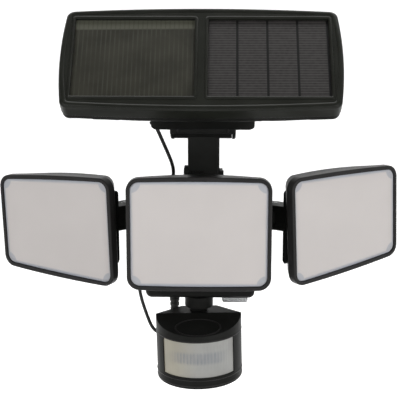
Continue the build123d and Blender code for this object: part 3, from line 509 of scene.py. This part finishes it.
@dataclass(frozen=True)
class LensPlastic:
    """The milky plastic of the sensor's lens, with painted shade on the upright facets of its middle
    tier.
    """

    name: str
    sensor_frame: Matrix
    colour: Colour = (0.345, 0.322, 0.258)
    cool: Colour = (0.292, 0.292, 0.280)
    # the bluish grey of the painted shade on the facets
    facet_shade: Colour = (0.165, 0.185, 0.210)
    facet_pitch: float = 0.082
    tier_low: float = -102.5 * MM
    tier_high: float = -92.0 * MM
    tier_reach: float = 0.82

    def build(self) -> Material:
        """Builds the material.

        Returns:
            The material.
        """
        sheet = NodeSheet(self.name)
        place = sheet.place(self.sensor_frame)
        axes = sheet.axes(place)
        forward = sheet.math("MULTIPLY", axes["Y"], -1.0)
        turn = sheet.math("ARCTAN2", axes["X"], forward)
        height = axes["Z"]
        edge = 2.2 * MM
        above = sheet.ramp(height, self.tier_low - edge, self.tier_low + edge)
        below = sheet.ramp(height, self.tier_high + edge, self.tier_high - edge)
        inside = sheet.ramp(sheet.math("ABSOLUTE", turn), self.tier_reach, self.tier_reach * 0.45)
        tier = sheet.math("MULTIPLY", sheet.math("MULTIPLY", above, below), inside)
        stripe = sheet.math("PINGPONG", sheet.math("ADD", turn, 3.0), self.facet_pitch / 2)
        stripe = sheet.ramp(stripe, 0.0, self.facet_pitch / 2)
        upright = sheet.add("CombineXYZ")
        for name, value, stretch in (("X", turn, 3.0), ("Y", height, 9.0)):
            sheet.link(sheet.math("MULTIPLY", value, stretch), upright.inputs[name])
        streaks = sheet.noise(upright.outputs[0], 9.0, 4.0)
        # painted shade: the faceted tier is tinted darker bluish grey, graded across each facet and
        # broken up by upright streaks
        share = sheet.math("MULTIPLY", tier, sheet.math("MULTIPLY_ADD", stripe, 0.4, 0.4))
        share = sheet.math("MULTIPLY", share, sheet.math("MULTIPLY_ADD", streaks, 1.4, 0.1))
        cloud = sheet.ramp(sheet.noise(place, 45.0, 3.0), 0.3, 0.7)
        side = sheet.ramp(turn, -0.75, 0.15)
        tint = sheet.blend(side, self.colour, self.cool)
        pale_ends = [tuple(1.15 * part for part in tone) for tone in (self.colour, self.cool)]
        paler = sheet.blend(side, *pale_ends)
        body = sheet.blend(cloud, tint, paler)
        sheet.paint(sheet.blend(share, body, self.facet_shade))
        sheet.set(Roughness=0.28, Specular_IOR_Level=0.45)
        sheet.bump(stripe, 0.00012, 0.5)
        return sheet.material


# ---- where things are
def shift(offset: Point | Vector) -> Matrix:
    """Moves by an offset in millimetres."""
    return Matrix.Translation(Vector(offset) * MM)


def spin(degrees: float, axis: str) -> Matrix:
    """Turns about an axis through the origin."""
    return Matrix.Rotation(radians(degrees), 4, axis)


@dataclass(frozen=True)
class SideHeadPose:
    """How a side head stands on its knuckle, as the photograph shows it."""

    side: int
    pan: float
    swivel: float
    lean: float
    knuckle: Point = (69.3, -68.0, 27.0)
    inset: float = 53.1
    setback: float = 43.0
    drop: float = 7.4

    def matrix(self) -> Matrix:
        """Gives the head's own frame: lens centre at the origin, lens facing -Y, in metres.

        The left head is the right one mirrored, so its frame is mirrored too.

        Returns:
            The frame.
        """
        turn = spin(self.swivel, "X") @ spin(self.pan, "Z") @ spin(-self.lean, "Y")
        stand = shift(self.knuckle) @ turn @ shift((self.inset, -self.setback, -self.drop))
        return stand if self.side > 0 else MIRROR @ stand


@dataclass
class Layout:
    """The frames that the pieces are drawn in."""

    right: SideHeadPose = SideHeadPose(1, 35.5, -1.4, 3.1)
    left: SideHeadPose = SideHeadPose(-1, 29.5, 0.5, -1.9)
    centre_pitch: float = -1.5
    centre_front: float = -125.0
    centre_hinge: float = 32.0
    centre_height: float = 21.9
    panel_tilt: float = 49.6
    panel_centre: Point = (1.0, -80.0, 177.0)
    sensor_middle: Point = (-1.3, -83.0, 0.0)
    sensor_pin: Point = (-1.3, -68.0, -73.0)
    sensor_lean: float = 1.4

    def centre(self) -> Matrix:
        """Gives the middle head's own frame.

        Returns:
            The frame, with the lens' centre at its origin.
        """
        hinge = shift((0.0, self.centre_front + self.centre_hinge, self.centre_height))
        return hinge @ spin(self.centre_pitch, "X") @ shift((0.0, -self.centre_hinge, 0.0))

    def panel(self) -> Matrix:
        """Gives the solar panel's own frame.

        Returns:
            The frame: face up, X across, Y up the slope.
        """
        return shift(self.panel_centre) @ spin(self.panel_tilt, "X")

    def sensor(self) -> Matrix:
        """Gives the sensor's own frame.

        Returns:
            The frame: its Z axis is the middle line of the sensor's round front.
        """
        middle = shift(Vector(self.sensor_middle) - Vector(self.sensor_pin))
        return shift(self.sensor_pin) @ spin(-self.sensor_lean, "Y") @ middle

    def heads(self) -> tuple[tuple[str, Matrix, float], ...]:
        """Lists the lamp heads.

        Returns:
            Each head's name, its frame, and how far its outer end narrows, in millimetres.
        """
        return (
            ("centre", self.centre(), 0.0),
            ("left", self.left.matrix(), SIDE_HEAD_TAPER),
            ("right", self.right.matrix(), SIDE_HEAD_TAPER),
        )


# ---- dressing the CAD nodes
class Role(Enum):
    """The finishes, by what they are for."""

    BODY = "satin_black"
    SHEEN_BLACK = "painted_sheen_black"
    PANEL = "panel_black"
    STEEL = "plated_steel"
    DARK_STEEL = "blackened_steel"
    RUBBER = "soft_rubber"
    LEAD = "lead_jacket"
    BOOT = "clear_silicone"
    SENSOR = "sensor_lens"
    BOARD = "circuit_green"
    LAMP_BOARD = "lamp_board_white"
    CELLS = "cell_wrap"
    CRADLE = "cradle_black"
    # painted shade: a near-black finish laid where shade falls in recesses, grooves and gaps
    RECESS_SHADE = "painted_recess_shade"


Finishes = dict[Role, Material]


def simple_finishes(layout: Layout) -> Finishes:
    """Builds the finishes that are the same all over the light.

    Args:
        layout: where the sensor stands, for its lens.

    Returns:
        One material per role.
    """
    kinds = (
        (Role.BODY, MouldedPlastic, (0.0115, 0.0118, 0.0110), 0.40, 0.05),
        # painted sheen: a lighter copy of the body black, a little glossier, standing for the sheen
        # that the bezel rims, sensor ledges and bracket ribs catch
        (Role.SHEEN_BLACK, MouldedPlastic, (0.0190, 0.0182, 0.0182), 0.38, 0.14),
        (Role.PANEL, MouldedPlastic, (0.0118, 0.0126, 0.0100), 0.32, 0.14),
        (Role.STEEL, ScrewSteel, (0.52, 0.52, 0.53)),
        (Role.DARK_STEEL, ScrewSteel, (0.10, 0.10, 0.10)),
        (Role.RUBBER, SoftRubber, (0.017, 0.017, 0.016)),
        (Role.LEAD, SoftRubber, (0.010, 0.010, 0.010), 0.42),
        (Role.BOOT, ClearSilicone, (0.75, 0.76, 0.76)),
        (Role.SENSOR, LensPlastic, layout.sensor()),
        (Role.BOARD, CircuitLacquer, (0.01, 0.10, 0.035), (0.02, 0.17, 0.06)),
        (Role.LAMP_BOARD, CircuitLacquer, (0.72, 0.72, 0.68), (0.6, 0.6, 0.56)),
        (Role.CELLS, MouldedPlastic, (0.02, 0.07, 0.26), 0.25),
        (Role.CRADLE, MouldedPlastic, (0.02, 0.02, 0.02), 0.5),
        # painted shade: near-black stand-in for the shade in screw recesses, grooves and the sensor's
        # seam
        (Role.RECESS_SHADE, SoftRubber, (0.002, 0.002, 0.002), 0.8),
    )
    return {role: kind(role.value, *values).build() for role, kind, *values in kinds}


NODE_ROLES: dict[Role, tuple[str, ...]] = {
    Role.BODY: (
        "wall_plate", "main_housing", "rear_cover", "switch_lever", "pole", "panel_back",
        "wiring_box", "tilt_bracket", "sensor_neck", "sensor_cap", "sensor_body",
        "centre_rear_shell", "left_rear_shell", "right_rear_shell", "left_arm", "right_arm",
        "left_swivel_nut", "right_swivel_nut",
    ),
    # the bezels get the lighter painted-sheen black
    Role.SHEEN_BLACK: ("centre_bezel", "left_bezel", "right_bezel"),
    Role.PANEL: ("panel_frame",),
    Role.STEEL: (
        "lock_screw", "housing_screws", "panel_screws", "sensor_pin", "sensor_screws",
        "centre_screws", "left_screws", "right_screws",
    ),
    Role.DARK_STEEL: (
        "pole_lock_bolt", "centre_hinge_bolt", "tilt_bolt", "left_pan_screw", "right_pan_screw",
    ),
    Role.RUBBER: ("rear_gasket", "lead_gland", "lead_grommet"),
    Role.BOOT: ("switch_boot",),
    Role.SENSOR: ("sensor_lens",),
    Role.BOARD: ("control_board", "sensor_board"),
    Role.LAMP_BOARD: ("centre_led_board", "left_led_board", "right_led_board"),
    Role.CELLS: ("battery_cells",),
    Role.CRADLE: ("battery_tray", "switch_body"),
    Role.LEAD: ("solar_lead",),
}


def dress(node: str, material: Material) -> None:
    """Gives a CAD node its material.

    Args:
        node: the node's name.
        material: what it is made of.
    """
    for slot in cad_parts[node].material_slots:
        slot.material = material


# ---- fine pieces
def full_turn(steps: int) -> list[float]:
    """Divides a full turn.

    Args:
        steps: how many parts it has.

    Returns:
        The angles, in radians, from zero.
    """
    return [2 * pi * step / steps for step in range(steps)]


class Sculptor:
    """Gathers simple closed forms, drawn in one frame in millimetres, into a single piece."""

    def __init__(self, place: Matrix | None = None) -> None:
        """Starts an empty piece.

        Args:
            place: the frame that the forms are drawn in; the light's own if left out.
        """
        self.place = (place or Matrix.Identity(4)) @ Matrix.Scale(MM, 4)
        self.shape = bmesh.new()

    def block(self, low: Point, high: Point, soft: float = 0.0) -> None:
        """Adds a box.

        Args:
            low: its lowest corner.
            high: its highest corner.
            soft: how far its edges are rounded.
        """
        middle = (Vector(low) + Vector(high)) / 2
        spread = Matrix.Diagonal((*(Vector(high) - Vector(low)), 1.0))
        made = bmesh.ops.create_cube(self.shape, size=1.0, matrix=Matrix.Translation(middle) @ spread)
        if soft:
            edges = {edge for vertex in made["verts"] for edge in vertex.link_edges}
            bmesh.ops.bevel(
                self.shape, geom=list(edges), offset=soft, segments=2, profile=0.5, affect="EDGES"
            )

    def tube(self, points: list[Vector], radius: float, sides: int = 8, closed: bool = False) -> None:
        """Adds a round tube along a line.

        Args:
            points: the line.
            radius: the tube's radius.
            sides: how many faces go round it.
            closed: True joins the last point to the first.
        """
        rings = []
        normal = Vector((0.0, 1.0, 0.0))
        count = len(points)
        for index, point in enumerate(points):
            before = points[index - 1 if closed else max(index - 1, 0)]
            after = points[(index + 1) % count if closed else min(index + 1, count - 1)]
            along = (after - before).normalized()
            if abs(along.dot(normal)) > 0.95:
                normal = Vector((0.0, 0.0, 1.0)) if abs(along.z) < 0.9 else Vector((1.0, 0.0, 0.0))
            side = along.cross(normal).normalized()
            normal = side.cross(along).normalized()
            offsets = [cos(turn) * side + sin(turn) * normal for turn in full_turn(sides)]
            rings.append([self.shape.verts.new(point + radius * offset) for offset in offsets])
        self.stitch(rings, closed)
        if not closed:
            self.shape.faces.new(list(reversed(rings[0])))
            self.shape.faces.new(rings[-1])

    def band(self, points: list[Vector], half_width: float, height: float, sides: int = 16) -> None:
        """Adds a low rounded band along a closed line that lies flat in the frame.

        Args:
            points: the line.
            half_width: half of the band's width.
            height: how far it stands over and under the line.
            sides: how many faces go round it.
        """
        up = Vector((0.0, 0.0, 1.0))
        rings = []
        for before, point, after in zip(points[-1:] + points[:-1], points, points[1:] + points[:1]):
            side = (after - before).cross(up).normalized() * half_width
            offsets = [cos(turn) * side + sin(turn) * height * up for turn in full_turn(sides)]
            rings.append([self.shape.verts.new(point + offset) for offset in offsets])
        self.stitch(rings, True)

    def stitch(self, rings: list[list[bmesh.types.BMVert]], closed: bool) -> None:
        """Joins rings of corners with smooth faces, each ring to the one after it.

        Args:
            rings: the rings, each with as many corners.
            closed: True joins the last ring to the first.
        """
        pairs = list(zip(rings, rings[1:]))
        if closed:
            pairs.append((rings[-1], rings[0]))
        for low, high in pairs:
            for step in range(len(low)):
                following = (step + 1) % len(low)
                corners = (low[step], low[following], high[following], high[step])
                self.shape.faces.new(corners).smooth = True

    def finish(self, name: str, material: Material, body: str = "") -> bpy.types.Object:
        """Closes the piece and puts it in the scene.

        Args:
            name: the piece's name.
            material: its finish.
            body: the body that it moves with; left out where something else carries it.

        Returns:
            The object.
        """
        bmesh.ops.transform(self.shape, matrix=self.place, verts=self.shape.verts)
        bmesh.ops.recalc_face_normals(self.shape, faces=self.shape.faces)
        mesh = bpy.data.meshes.new(name)
        self.shape.to_mesh(mesh)
        self.shape.free()
        piece = bpy.data.objects.new(name, mesh)
        mesh.materials.append(material)
        bpy.context.scene.collection.objects.link(piece)
        if body:
            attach(piece, body)
        LOG.info("piece %s: %d faces", name, len(mesh.polygons))
        return piece


def rounded_ring(width: float, height: float, corner: float, steps: int = 6) -> list[Vector]:
    """Gives the points of a rounded rectangle that lies flat about the origin.

    Args:
        width: its full width.
        height: its full height.
        corner: the corner's radius.
        steps: points per corner.

    Returns:
        The points in order.
    """
    points = []
    for index, (right, up) in enumerate(((1, 1), (-1, 1), (-1, -1), (1, -1))):
        for step in range(steps + 1):
            angle = (index + step / steps) * pi / 2
            across = right * (width / 2 - corner) + corner * cos(angle)
            deep = up * (height / 2 - corner) + corner * sin(angle)
            points.append(Vector((across, deep, 0.0)))
    return points


@dataclass
class PanelTrim:
    """The band round the panel's rim, the lips of its windows and the ribs under its tray."""

    place: Matrix
    window_width: float = 110.5
    window_length: float = 85.0
    window_middle: float = 61.55
    window_up: float = 1.0
    width: float = 250.0
    length: float = 105.0
    side_bow: float = 4.0
    end_bow: float = 3.4
    corner: float = 5.0
    longest_run: float = 12.0
    ridge_inset: float = 2.9
    ridge: float = 2.1
    ridge_height: float = 0.7
    lip: float = 1.5
    lip_height: float = 0.8
    lip_corner: float = 2.2
    under: float = -22.5
    rib_height: float = 1.0
    rib_places: tuple[float, ...] = (74.0, 86.0, 98.0, 110.0)

    def edge_line(self) -> list[Vector]:
        """Gives the line of the rim band, bowed as the panel's edges are.

        Returns:
            Points in order.
        """
        width, length = self.width - 2 * self.ridge_inset, self.length - 2 * self.ridge_inset
        points = rounded_ring(width, length, self.corner, 8)
        line = []
        for before, after in zip(points, points[1:] + points[:1]):
            steps = max(1, round((after - before).length / self.longest_run))
            for step in range(steps):
                share = step / steps
                point = before.lerp(after, share)
                if steps > 2:
                    swell = 4.0 * share * (1.0 - share)
                    if abs(after.x - before.x) > abs(after.y - before.y):
                        point.y += swell * self.end_bow * (1 if point.y > 0 else -1)
                    else:
                        point.x += swell * self.side_bow * (1 if point.x > 0 else -1)
                line.append(point)
        return line

    def build(self, finishes: Finishes) -> None:
        """Builds the lips and the ribs.

        Args:
            finishes: the finishes by role.
        """
        lips = Sculptor(self.place)
        width, length = self.window_width + 2.1 * self.lip, self.window_length + 2.1 * self.lip
        for side in (-1, 1):
            middle = Vector((side * self.window_middle, self.window_up, 0.0))
            ring = [middle + point for point in rounded_ring(width, length, self.lip_corner)]
            lips.band(ring, self.lip, self.lip_height)
        lips.band(self.edge_line(), self.ridge, self.ridge_height)
        lips.finish("window_lips", finishes[Role.PANEL], "panel")
        ribs = Sculptor(self.place)
        low, high = self.under - self.rib_height, self.under + 0.3
        for side in (-1, 1):
            for x in (side * place for place in self.rib_places):
                ribs.block((x - 0.8, -38.0, low), (x + 0.8, 38.0, high), 0.4)
        ribs.finish("tray_ribs", finishes[Role.BODY], "panel")


@dataclass
class HeadTrim:
    """The ribs on the back of a lamp head, and painted shade in the cross recesses of its screws."""

    prefix: str
    place: Matrix
    taper: float
    back: float = 20.0
    seat: float = 19.4
    post_x: float = 11.0
    post_z: float = 5.5
    rib_from: float = 14.0
    rib_to: float = 42.0
    hinge_gap: float = 12.0
    ribs: int = 7

    def build(self, finishes: Finishes) -> None:
        """Builds the ribs and the painted shade in the screw recesses.

        Args:
            finishes: the finishes by role.
        """
        body = f"{self.prefix}_head"
        ribs = Sculptor(self.place)
        near = self.rib_from if self.taper else self.rib_from + self.hinge_gap
        for side in (1,) if self.taper else (-1, 1):
            start, end = sorted((side * near, side * self.rib_to))
            for index in range(self.ribs):
                z = 9.0 * (index - (self.ribs - 1) / 2)
                ribs.block((start, self.back - 0.4, z - 0.9), (end, self.back + 0.9, z + 0.9), 0.4)
        ribs.finish(f"{self.prefix}_back_ribs", finishes[Role.BODY], body)
        # painted shade: dark cross-shaped blocks on the screw heads, standing for the shade in their
        # cross recesses
        recess_shades = Sculptor(self.place)
        low, high = self.seat - 0.2, self.seat + 0.05
        for side, drop in ((-1, 0.0), (1, self.taper)):
            x = side * (HEAD_HALF_WIDTH - self.post_x)
            for up in (-1, 1):
                z = up * (HEAD_HALF_HEIGHT - self.post_z - drop)
                recess_shades.block((x - 1.5, low, z - 0.3), (x + 1.5, high, z + 0.3))
                recess_shades.block((x - 0.3, low, z - 1.5), (x + 0.3, high, z + 1.5))
        recess_shades.finish(f"{self.prefix}_screw_recess_shades", finishes[Role.RECESS_SHADE], body)


@dataclass
class KnuckleTrim:
    """The pressed ring on a pan screw's head, and painted shade in its cross recess."""

    pose: SideHeadPose
    top: float = 12.8
    ring_radius: float = 5.6
    ring_wire: float = 0.55
    ring_sink: float = 0.65
    cross_half: float = 2.4
    cross_wire: float = 0.4

    def build(self, finishes: Finishes) -> None:
        """Builds the ring and the painted shade in the cross recess.

        Args:
            finishes: the finishes by role.
        """
        name = "right" if self.pose.side > 0 else "left"
        stand = shift(self.pose.knuckle) @ spin(self.pose.swivel, "X")
        if self.pose.side < 0:
            stand = MIRROR @ stand
        ring = Sculptor(stand)
        height = self.top - self.ring_wire - self.ring_sink
        spokes = [Vector((cos(turn), sin(turn), 0.0)) for turn in full_turn(40)]
        line = [self.ring_radius * spoke + Vector((0.0, 0.0, height)) for spoke in spokes]
        ring.tube(line, self.ring_wire, 8, True)
        ring.finish(f"{name}_screw_ring", finishes[Role.DARK_STEEL], f"{name}_arm_body")
        # painted shade: a dark cross-shaped block on the screw head, standing for the shade in its
        # cross recess
        cross = Sculptor(stand)
        low, high = self.top - 0.3, self.top + 0.04
        for x, y in ((self.cross_half, self.cross_wire), (self.cross_wire, self.cross_half)):
            cross.block((-x, -y, low), (x, y, high))
        cross.finish(f"{name}_screw_cross", finishes[Role.RECESS_SHADE], f"{name}_arm_body")


@dataclass
class SensorTrim:
    """The ledges under the sensor's lens, its cap's rim and round line in the painted-sheen black,
    and painted shade in the seam under its cap.
    """

    place: Matrix
    radius: float = 40.9
    back: float = 28.0
    back_half: float = 17.0
    cap_bottom: float = -81.0
    cap_side_top: float = -66.0
    cap_slope: float = 0.22
    pad_across: float = 21.0
    pad_deep: float = 14.0
    pad_middle: float = -25.0
    pad_line: float = 0.8
    pad_height: float = 0.45
    ledge_height: float = -118.6
    foot_height: float = -124.5
    wire: float = 0.75

    def outline(self, grow: float, height: float) -> list[Vector]:
        """Gives the sensor's outline seen from above.

        Args:
            grow: how much larger it is all round.
            height: where it lies.

        Returns:
            Points in order.
        """
        radius = self.radius + grow
        turns = [pi + pi * step / 32 for step in range(33)]
        points = [Vector((radius * cos(turn), radius * sin(turn), height)) for turn in turns]
        corners = (self.back_half, -self.back_half)
        return points + [Vector((x, self.back + grow, height)) for x in corners]

    def pad_outline(self) -> list[Vector]:
        """Gives the round line on the cap's sloping top.

        Returns:
            Points in order.
        """
        points = []
        for turn in full_turn(48):
            y = self.pad_middle + self.pad_deep * sin(turn)
            height = self.cap_side_top + self.cap_slope * min(y, 0.0)
            points.append(Vector((self.pad_across * cos(turn), y, height)))
        return points

    def build(self, finishes: Finishes) -> None:
        """Builds the lines.

        Args:
            finishes: the finishes by role.
        """
        ledge = Sculptor(self.place)
        cap_rim = self.cap_bottom + self.wire
        for sunk, height in ((0.35, self.ledge_height), (0.5, cap_rim), (0.5, self.foot_height)):
            ledge.tube(self.outline(-sunk * self.wire, height), self.wire, 8, True)
        ledge.band(self.pad_outline(), self.pad_line, self.pad_height)
        ledge.finish("sensor_ledges", finishes[Role.SHEEN_BLACK], "sensor_head")
        # painted shade: a thin near-black tube in the gap between the cap and the body
        seam = Sculptor(self.place)
        seam.tube(self.outline(-0.25, self.cap_bottom - 0.1), 0.3, 6, True)
        seam.finish("sensor_seam_shade", finishes[Role.RECESS_SHADE], "sensor_head")


@dataclass
class BracketTrim:
    """The painted shade in the two pressed grooves across the front of the tilt bracket, and its four
    upright ribs in the painted-sheen black.
    """

    place: Matrix
    middle: float = 1.5
    line_half: float = 28.6
    drum_up: float = -36.5
    drum_under: float = -57.4
    outer: float = 15.6
    wire: float = 0.45
    angles: tuple[float, ...] = (136.0, 150.0)
    rib_places: tuple[float, ...] = (-29.8, -23.6, 23.6, 29.8)
    rib_from: float = 92.0
    rib_to: float = 147.0
    rib_steps: int = 10
    rib_wire: float = 0.7

    def on_shroud(self, across: float, angle: float) -> Vector:
        """Gives a point on the shroud's round front.

        Args:
            across: how far right of its middle.
            angle: how far round it, in degrees.

        Returns:
            The point.
        """
        y = self.drum_up + self.outer * cos(radians(angle))
        z = self.drum_under + self.outer * sin(radians(angle))
        return Vector((self.middle + across, y, z))

    def build(self, finishes: Finishes) -> None:
        """Builds the lines and the ribs.

        Args:
            finishes: the finishes by role.
        """
        # painted shade: near-black tubes along the two pressed grooves, where shade falls
        lines = Sculptor(self.place)
        for angle in self.angles:
            ends = [self.on_shroud(across, angle) for across in (-self.line_half, self.line_half)]
            lines.tube(ends, self.wire, 8)
        lines.finish("bracket_groove_shade", finishes[Role.RECESS_SHADE], "panel")
        ribs = Sculptor(self.place)
        for across in self.rib_places:
            run = (self.rib_to - self.rib_from) / self.rib_steps
            angles = [self.rib_from + run * step for step in range(self.rib_steps + 1)]
            ribs.tube([self.on_shroud(across, angle) for angle in angles], self.rib_wire, 8)
        ribs.finish("bracket_ribs", finishes[Role.SHEEN_BLACK], "panel")


@dataclass
class BootTrim:
    """The dark collar of the switch's clear boot and its two bellows folds."""

    middle: Point = (33.4, -66.0, -51.8)
    length: float = 24.0
    width: float = 11.0
    collar: float = 2.6
    wall: float = 0.35
    fold_wire: float = 0.4
    fold_depths: tuple[float, ...] = (4.0, 5.4)

    def build(self, finishes: Finishes) -> None:
        """Builds the collar and the folds.

        Args:
            finishes: the finishes by role.
        """
        centre = Vector(self.middle)
        collar = Sculptor()
        ring = rounded_ring(self.length + self.wall, self.width + self.wall, 2.2)
        for level in range(5):
            middle = centre + Vector((0.0, 0.0, -0.3 - level * self.collar / 5))
            collar.tube([middle + point for point in ring], 0.35, 6, True)
        collar.finish("boot_collar", finishes[Role.RUBBER], "housing")
        folds = Sculptor()
        ring = rounded_ring(self.length + 0.1, self.width + 0.1, 2.0)
        for depth in self.fold_depths:
            middle = centre + Vector((0.0, 0.0, -depth))
            folds.tube([middle + point for point in ring], self.fold_wire, 6, True)
        folds.finish("boot_folds", finishes[Role.BOOT], "housing")


# ---- the lead
@dataclass
class SolarLead:
    """The thin lead that hangs from the panel, down beside the housing and up into its gland."""

    radius: float = 1.7
    sides: int = 12
    route: tuple[Point, ...] = (
        (-40.8, -70.3, 111.3), (-32.5, -62.2, 90.0), (-25.5, -54.5, 70.0),
        (-27.5, -41.0, 54.5), (-44.0, -33.0, 54.0), (-59.8, -30.5, 43.0),
        (-60.8, -30.0, 16.0), (-62.6, -30.0, -10.0), (-63.6, -30.0, -37.0),
        (-62.6, -30.0, -63.0), (-55.3, -30.3, -87.4), (-48.6, -31.0, -103.8),
        (-36.9, -31.0, -107.9), (-26.8, -31.0, -100.1), (-26.8, -31.0, -81.8),
    )

    def line(self) -> list[Vector]:
        """Reads points along the smooth line that has the route as its control points.

        Returns:
            Points in metres.
        """
        curve = bpy.data.curves.new("lead_line", "CURVE")
        curve.dimensions = "3D"
        curve.resolution_u = 12
        spline = curve.splines.new("NURBS")
        spline.points.add(len(self.route) - 1)
        for point, place in zip(spline.points, self.route):
            point.co = (*(Vector(place) * MM), 1.0)
        spline.order_u = 3
        spline.use_endpoint_u = True
        carrier = bpy.data.objects.new("lead_line", curve)
        bpy.context.scene.collection.objects.link(carrier)
        bpy.context.view_layer.update()
        mesh = bpy.data.meshes.new_from_object(carrier)
        points = [vertex.co.copy() for vertex in mesh.vertices]
        bpy.data.objects.remove(carrier)
        bpy.data.curves.remove(curve)
        bpy.data.meshes.remove(mesh)
        return points

    def build(self, material: Material) -> bpy.types.Object:
        """Args:
            material: the lead's jacket.

        Returns:
            The lead's object.
        """
        points = self.line()
        tube = Sculptor()
        tube.tube([point / MM for point in points], self.radius, self.sides)
        lead = tube.finish("solar_lead_tube", material)
        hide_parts("solar_lead")
        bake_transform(lead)
        return lead


# ---- studio
@dataclass
class Studio:
    """Floor, backdrop, lamps and camera."""

    aim: Point = (1.0, -125.0, 55.0)
    distance: float = 890.0
    height_angle: float = 13.2
    side_angle: float = -1.35
    lens: float = 90.0
    floor_level: float = -300.0
    floor_lift: float = 0.5
    room_level: float = 0.5
    ceiling_from: float = 0.25
    ceiling_full: float = 0.75
    ceiling: Colour = (0.11, 0.112, 0.105)

    def camera(self) -> None:
        """Places the camera where the photograph was taken from."""
        data = bpy.data.cameras.new("camera")
        data.lens = self.lens
        data.sensor_width = 36.0
        data.clip_end = 20.0
        camera = bpy.data.objects.new("camera", data)
        bpy.context.scene.collection.objects.link(camera)
        rise, yaw = radians(self.height_angle), radians(self.side_angle)
        forward = Vector((sin(yaw) * cos(rise), cos(yaw) * cos(rise), -sin(rise)))
        aim = Vector(self.aim) * MM
        camera.location = aim - forward * self.distance * MM
        camera.rotation_euler = forward.to_track_quat("-Z", "Y").to_euler()
        bpy.context.scene.camera = camera

    def backdrop_material(self) -> Material:
        """Builds the floor's finish, white to the camera, to gloss and through glass.

        Returns:
            The material; it is pale where light falls on it, so it keeps a shadow.
        """
        sheet = NodeSheet("studio_white")
        sheet.set(Base_Color=(0.86, 0.86, 0.86, 1.0), Roughness=0.9, Specular_IOR_Level=0.0)
        sheet.set(Emission_Color=(1.0, 1.0, 1.0, 1.0))
        path = sheet.add("LightPath")
        seen = path.outputs["Is Camera Ray"]
        for ray in ("Is Glossy Ray", "Is Transmission Ray"):
            seen = sheet.math("MAXIMUM", seen, path.outputs[ray])
        lift = sheet.math("MULTIPLY", seen, self.floor_lift)
        sheet.link(lift, sheet.shader.inputs["Emission Strength"])
        return sheet.material

    def stage(self) -> None:
        """Builds the floor and the backdrop in one sheet, far enough away to stay plain."""
        mesh = bpy.data.meshes.new("studio_floor")
        level = self.floor_level * MM
        shape = bmesh.new()
        wide, front, back, high, bend = 6.0, -4.0, 2.6, 4.0, 1.2
        profile = [(front, level), (back - bend, level)]
        for step in range(1, 13):
            angle = step / 12 * pi / 2
            profile.append((back - bend + bend * sin(angle), level + bend - bend * cos(angle)))
        profile.append((back, high))
        rows = [[shape.verts.new((x, y, z)) for x in (-wide, wide)] for y, z in profile]
        for low, up in zip(rows, rows[1:]):
            shape.faces.new((low[0], low[1], up[1], up[0])).smooth = True
        shape.to_mesh(mesh)
        shape.free()
        floor = bpy.data.objects.new("studio_floor", mesh)
        bpy.context.scene.collection.objects.link(floor)
        mesh.materials.append(self.backdrop_material())

    def lamp(self, name: str, place: Point, size: tuple[float, float], power: float) -> None:
        """Adds a soft box aimed at the light.

        Args:
            name: the lamp's name.
            place: where it stands, in metres.
            size: width and height, in metres.
            power: in watts.
        """
        data = bpy.data.lights.new(name, "AREA")
        data.shape = "RECTANGLE"
        data.size, data.size_y = size
        data.energy = power
        lamp = bpy.data.objects.new(name, data)
        lamp.location = place
        aim = Vector((0.0, -0.08, 0.05))
        lamp.rotation_euler = (aim - Vector(place)).to_track_quat("-Z", "Y").to_euler()
        bpy.context.scene.collection.objects.link(lamp)

    def world(self) -> None:
        """A pale room with a dark ceiling, so that the panel's face stays dark."""
        world = bpy.data.worlds.new("studio_world")
        bpy.context.scene.world = world
        world.use_nodes = True
        tree = world.node_tree
        background = tree.nodes["Background"]
        background.inputs["Strength"].default_value = self.room_level
        place = tree.nodes.new("ShaderNodeTexCoord")
        split = tree.nodes.new("ShaderNodeSeparateXYZ")
        tree.links.new(place.outputs["Generated"], split.inputs[0])
        ramp = tree.nodes.new("ShaderNodeValToRGB")
        stops = ((self.ceiling_from, (1.0, 1.0, 1.0)), (self.ceiling_full, self.ceiling))
        for stop, (position, colour) in zip(ramp.color_ramp.elements, stops):
            stop.position, stop.color = position, (*colour, 1.0)
        tree.links.new(split.outputs["Z"], ramp.inputs["Fac"])
        tree.links.new(ramp.outputs["Color"], background.inputs["Color"])

    def build(self) -> None:
        """Sets up the whole studio."""
        self.camera()
        self.stage()
        self.world()
        self.lamp("key", (-1.2, -2.1, 0.9), (1.3, 1.0), 17.4)
        self.lamp("fill", (1.6, -1.9, 0.5), (1.2, 1.2), 20.0)
        self.lamp("top", (0.1, 0.45, 1.9), (2.6, 0.9), 42.0)
        bpy.context.scene.view_settings.view_transform = "Standard"


# ---- all together
def dress_frame(layout: Layout) -> Finishes:
    """Gives every CAD node its finish.

    Args:
        layout: where the heads and the panel stand.

    Returns:
        The finishes by role.
    """
    finishes = simple_finishes(layout)
    for role, nodes in NODE_ROLES.items():
        for node in nodes:
            dress(node, finishes[role])
    half_sizes = HEAD_HALF_WIDTH * MM, HEAD_HALF_HEIGHT * MM
    for name, place, taper in layout.heads():
        finish = MilkyDiffuser(f"{name}_milky", place, *half_sizes, taper * MM)
        dress(f"{name}_diffuser", finish.build())
    dress("solar_module_left", ThinFilmModule("thin_film", layout.panel()).build())
    dress("solar_module_right", CellSilicon("cell_silicon", layout.panel()).build())
    LOG.info("dressed %d nodes", len(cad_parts))
    return finishes


def write_sizes() -> None:
    """Updates the view layer."""
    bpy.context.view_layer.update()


def main() -> None:
    """Builds the light's looks and the studio, piece by piece."""
    logging.basicConfig(level=logging.INFO, format="%(message)s")
    layout = Layout()
    finishes = dress_frame(layout)
    SolarLead().build(finishes[Role.LEAD])
    PanelTrim(layout.panel()).build(finishes)
    BracketTrim(layout.panel()).build(finishes)
    for name, place, taper in layout.heads():
        HeadTrim(name, place, taper).build(finishes)
    for pose in (layout.left, layout.right):
        KnuckleTrim(pose).build(finishes)
    SensorTrim(layout.sensor()).build(finishes)
    BootTrim().build(finishes)
    Studio().build()
    write_sizes()


if __name__ == "__main__":
    main()
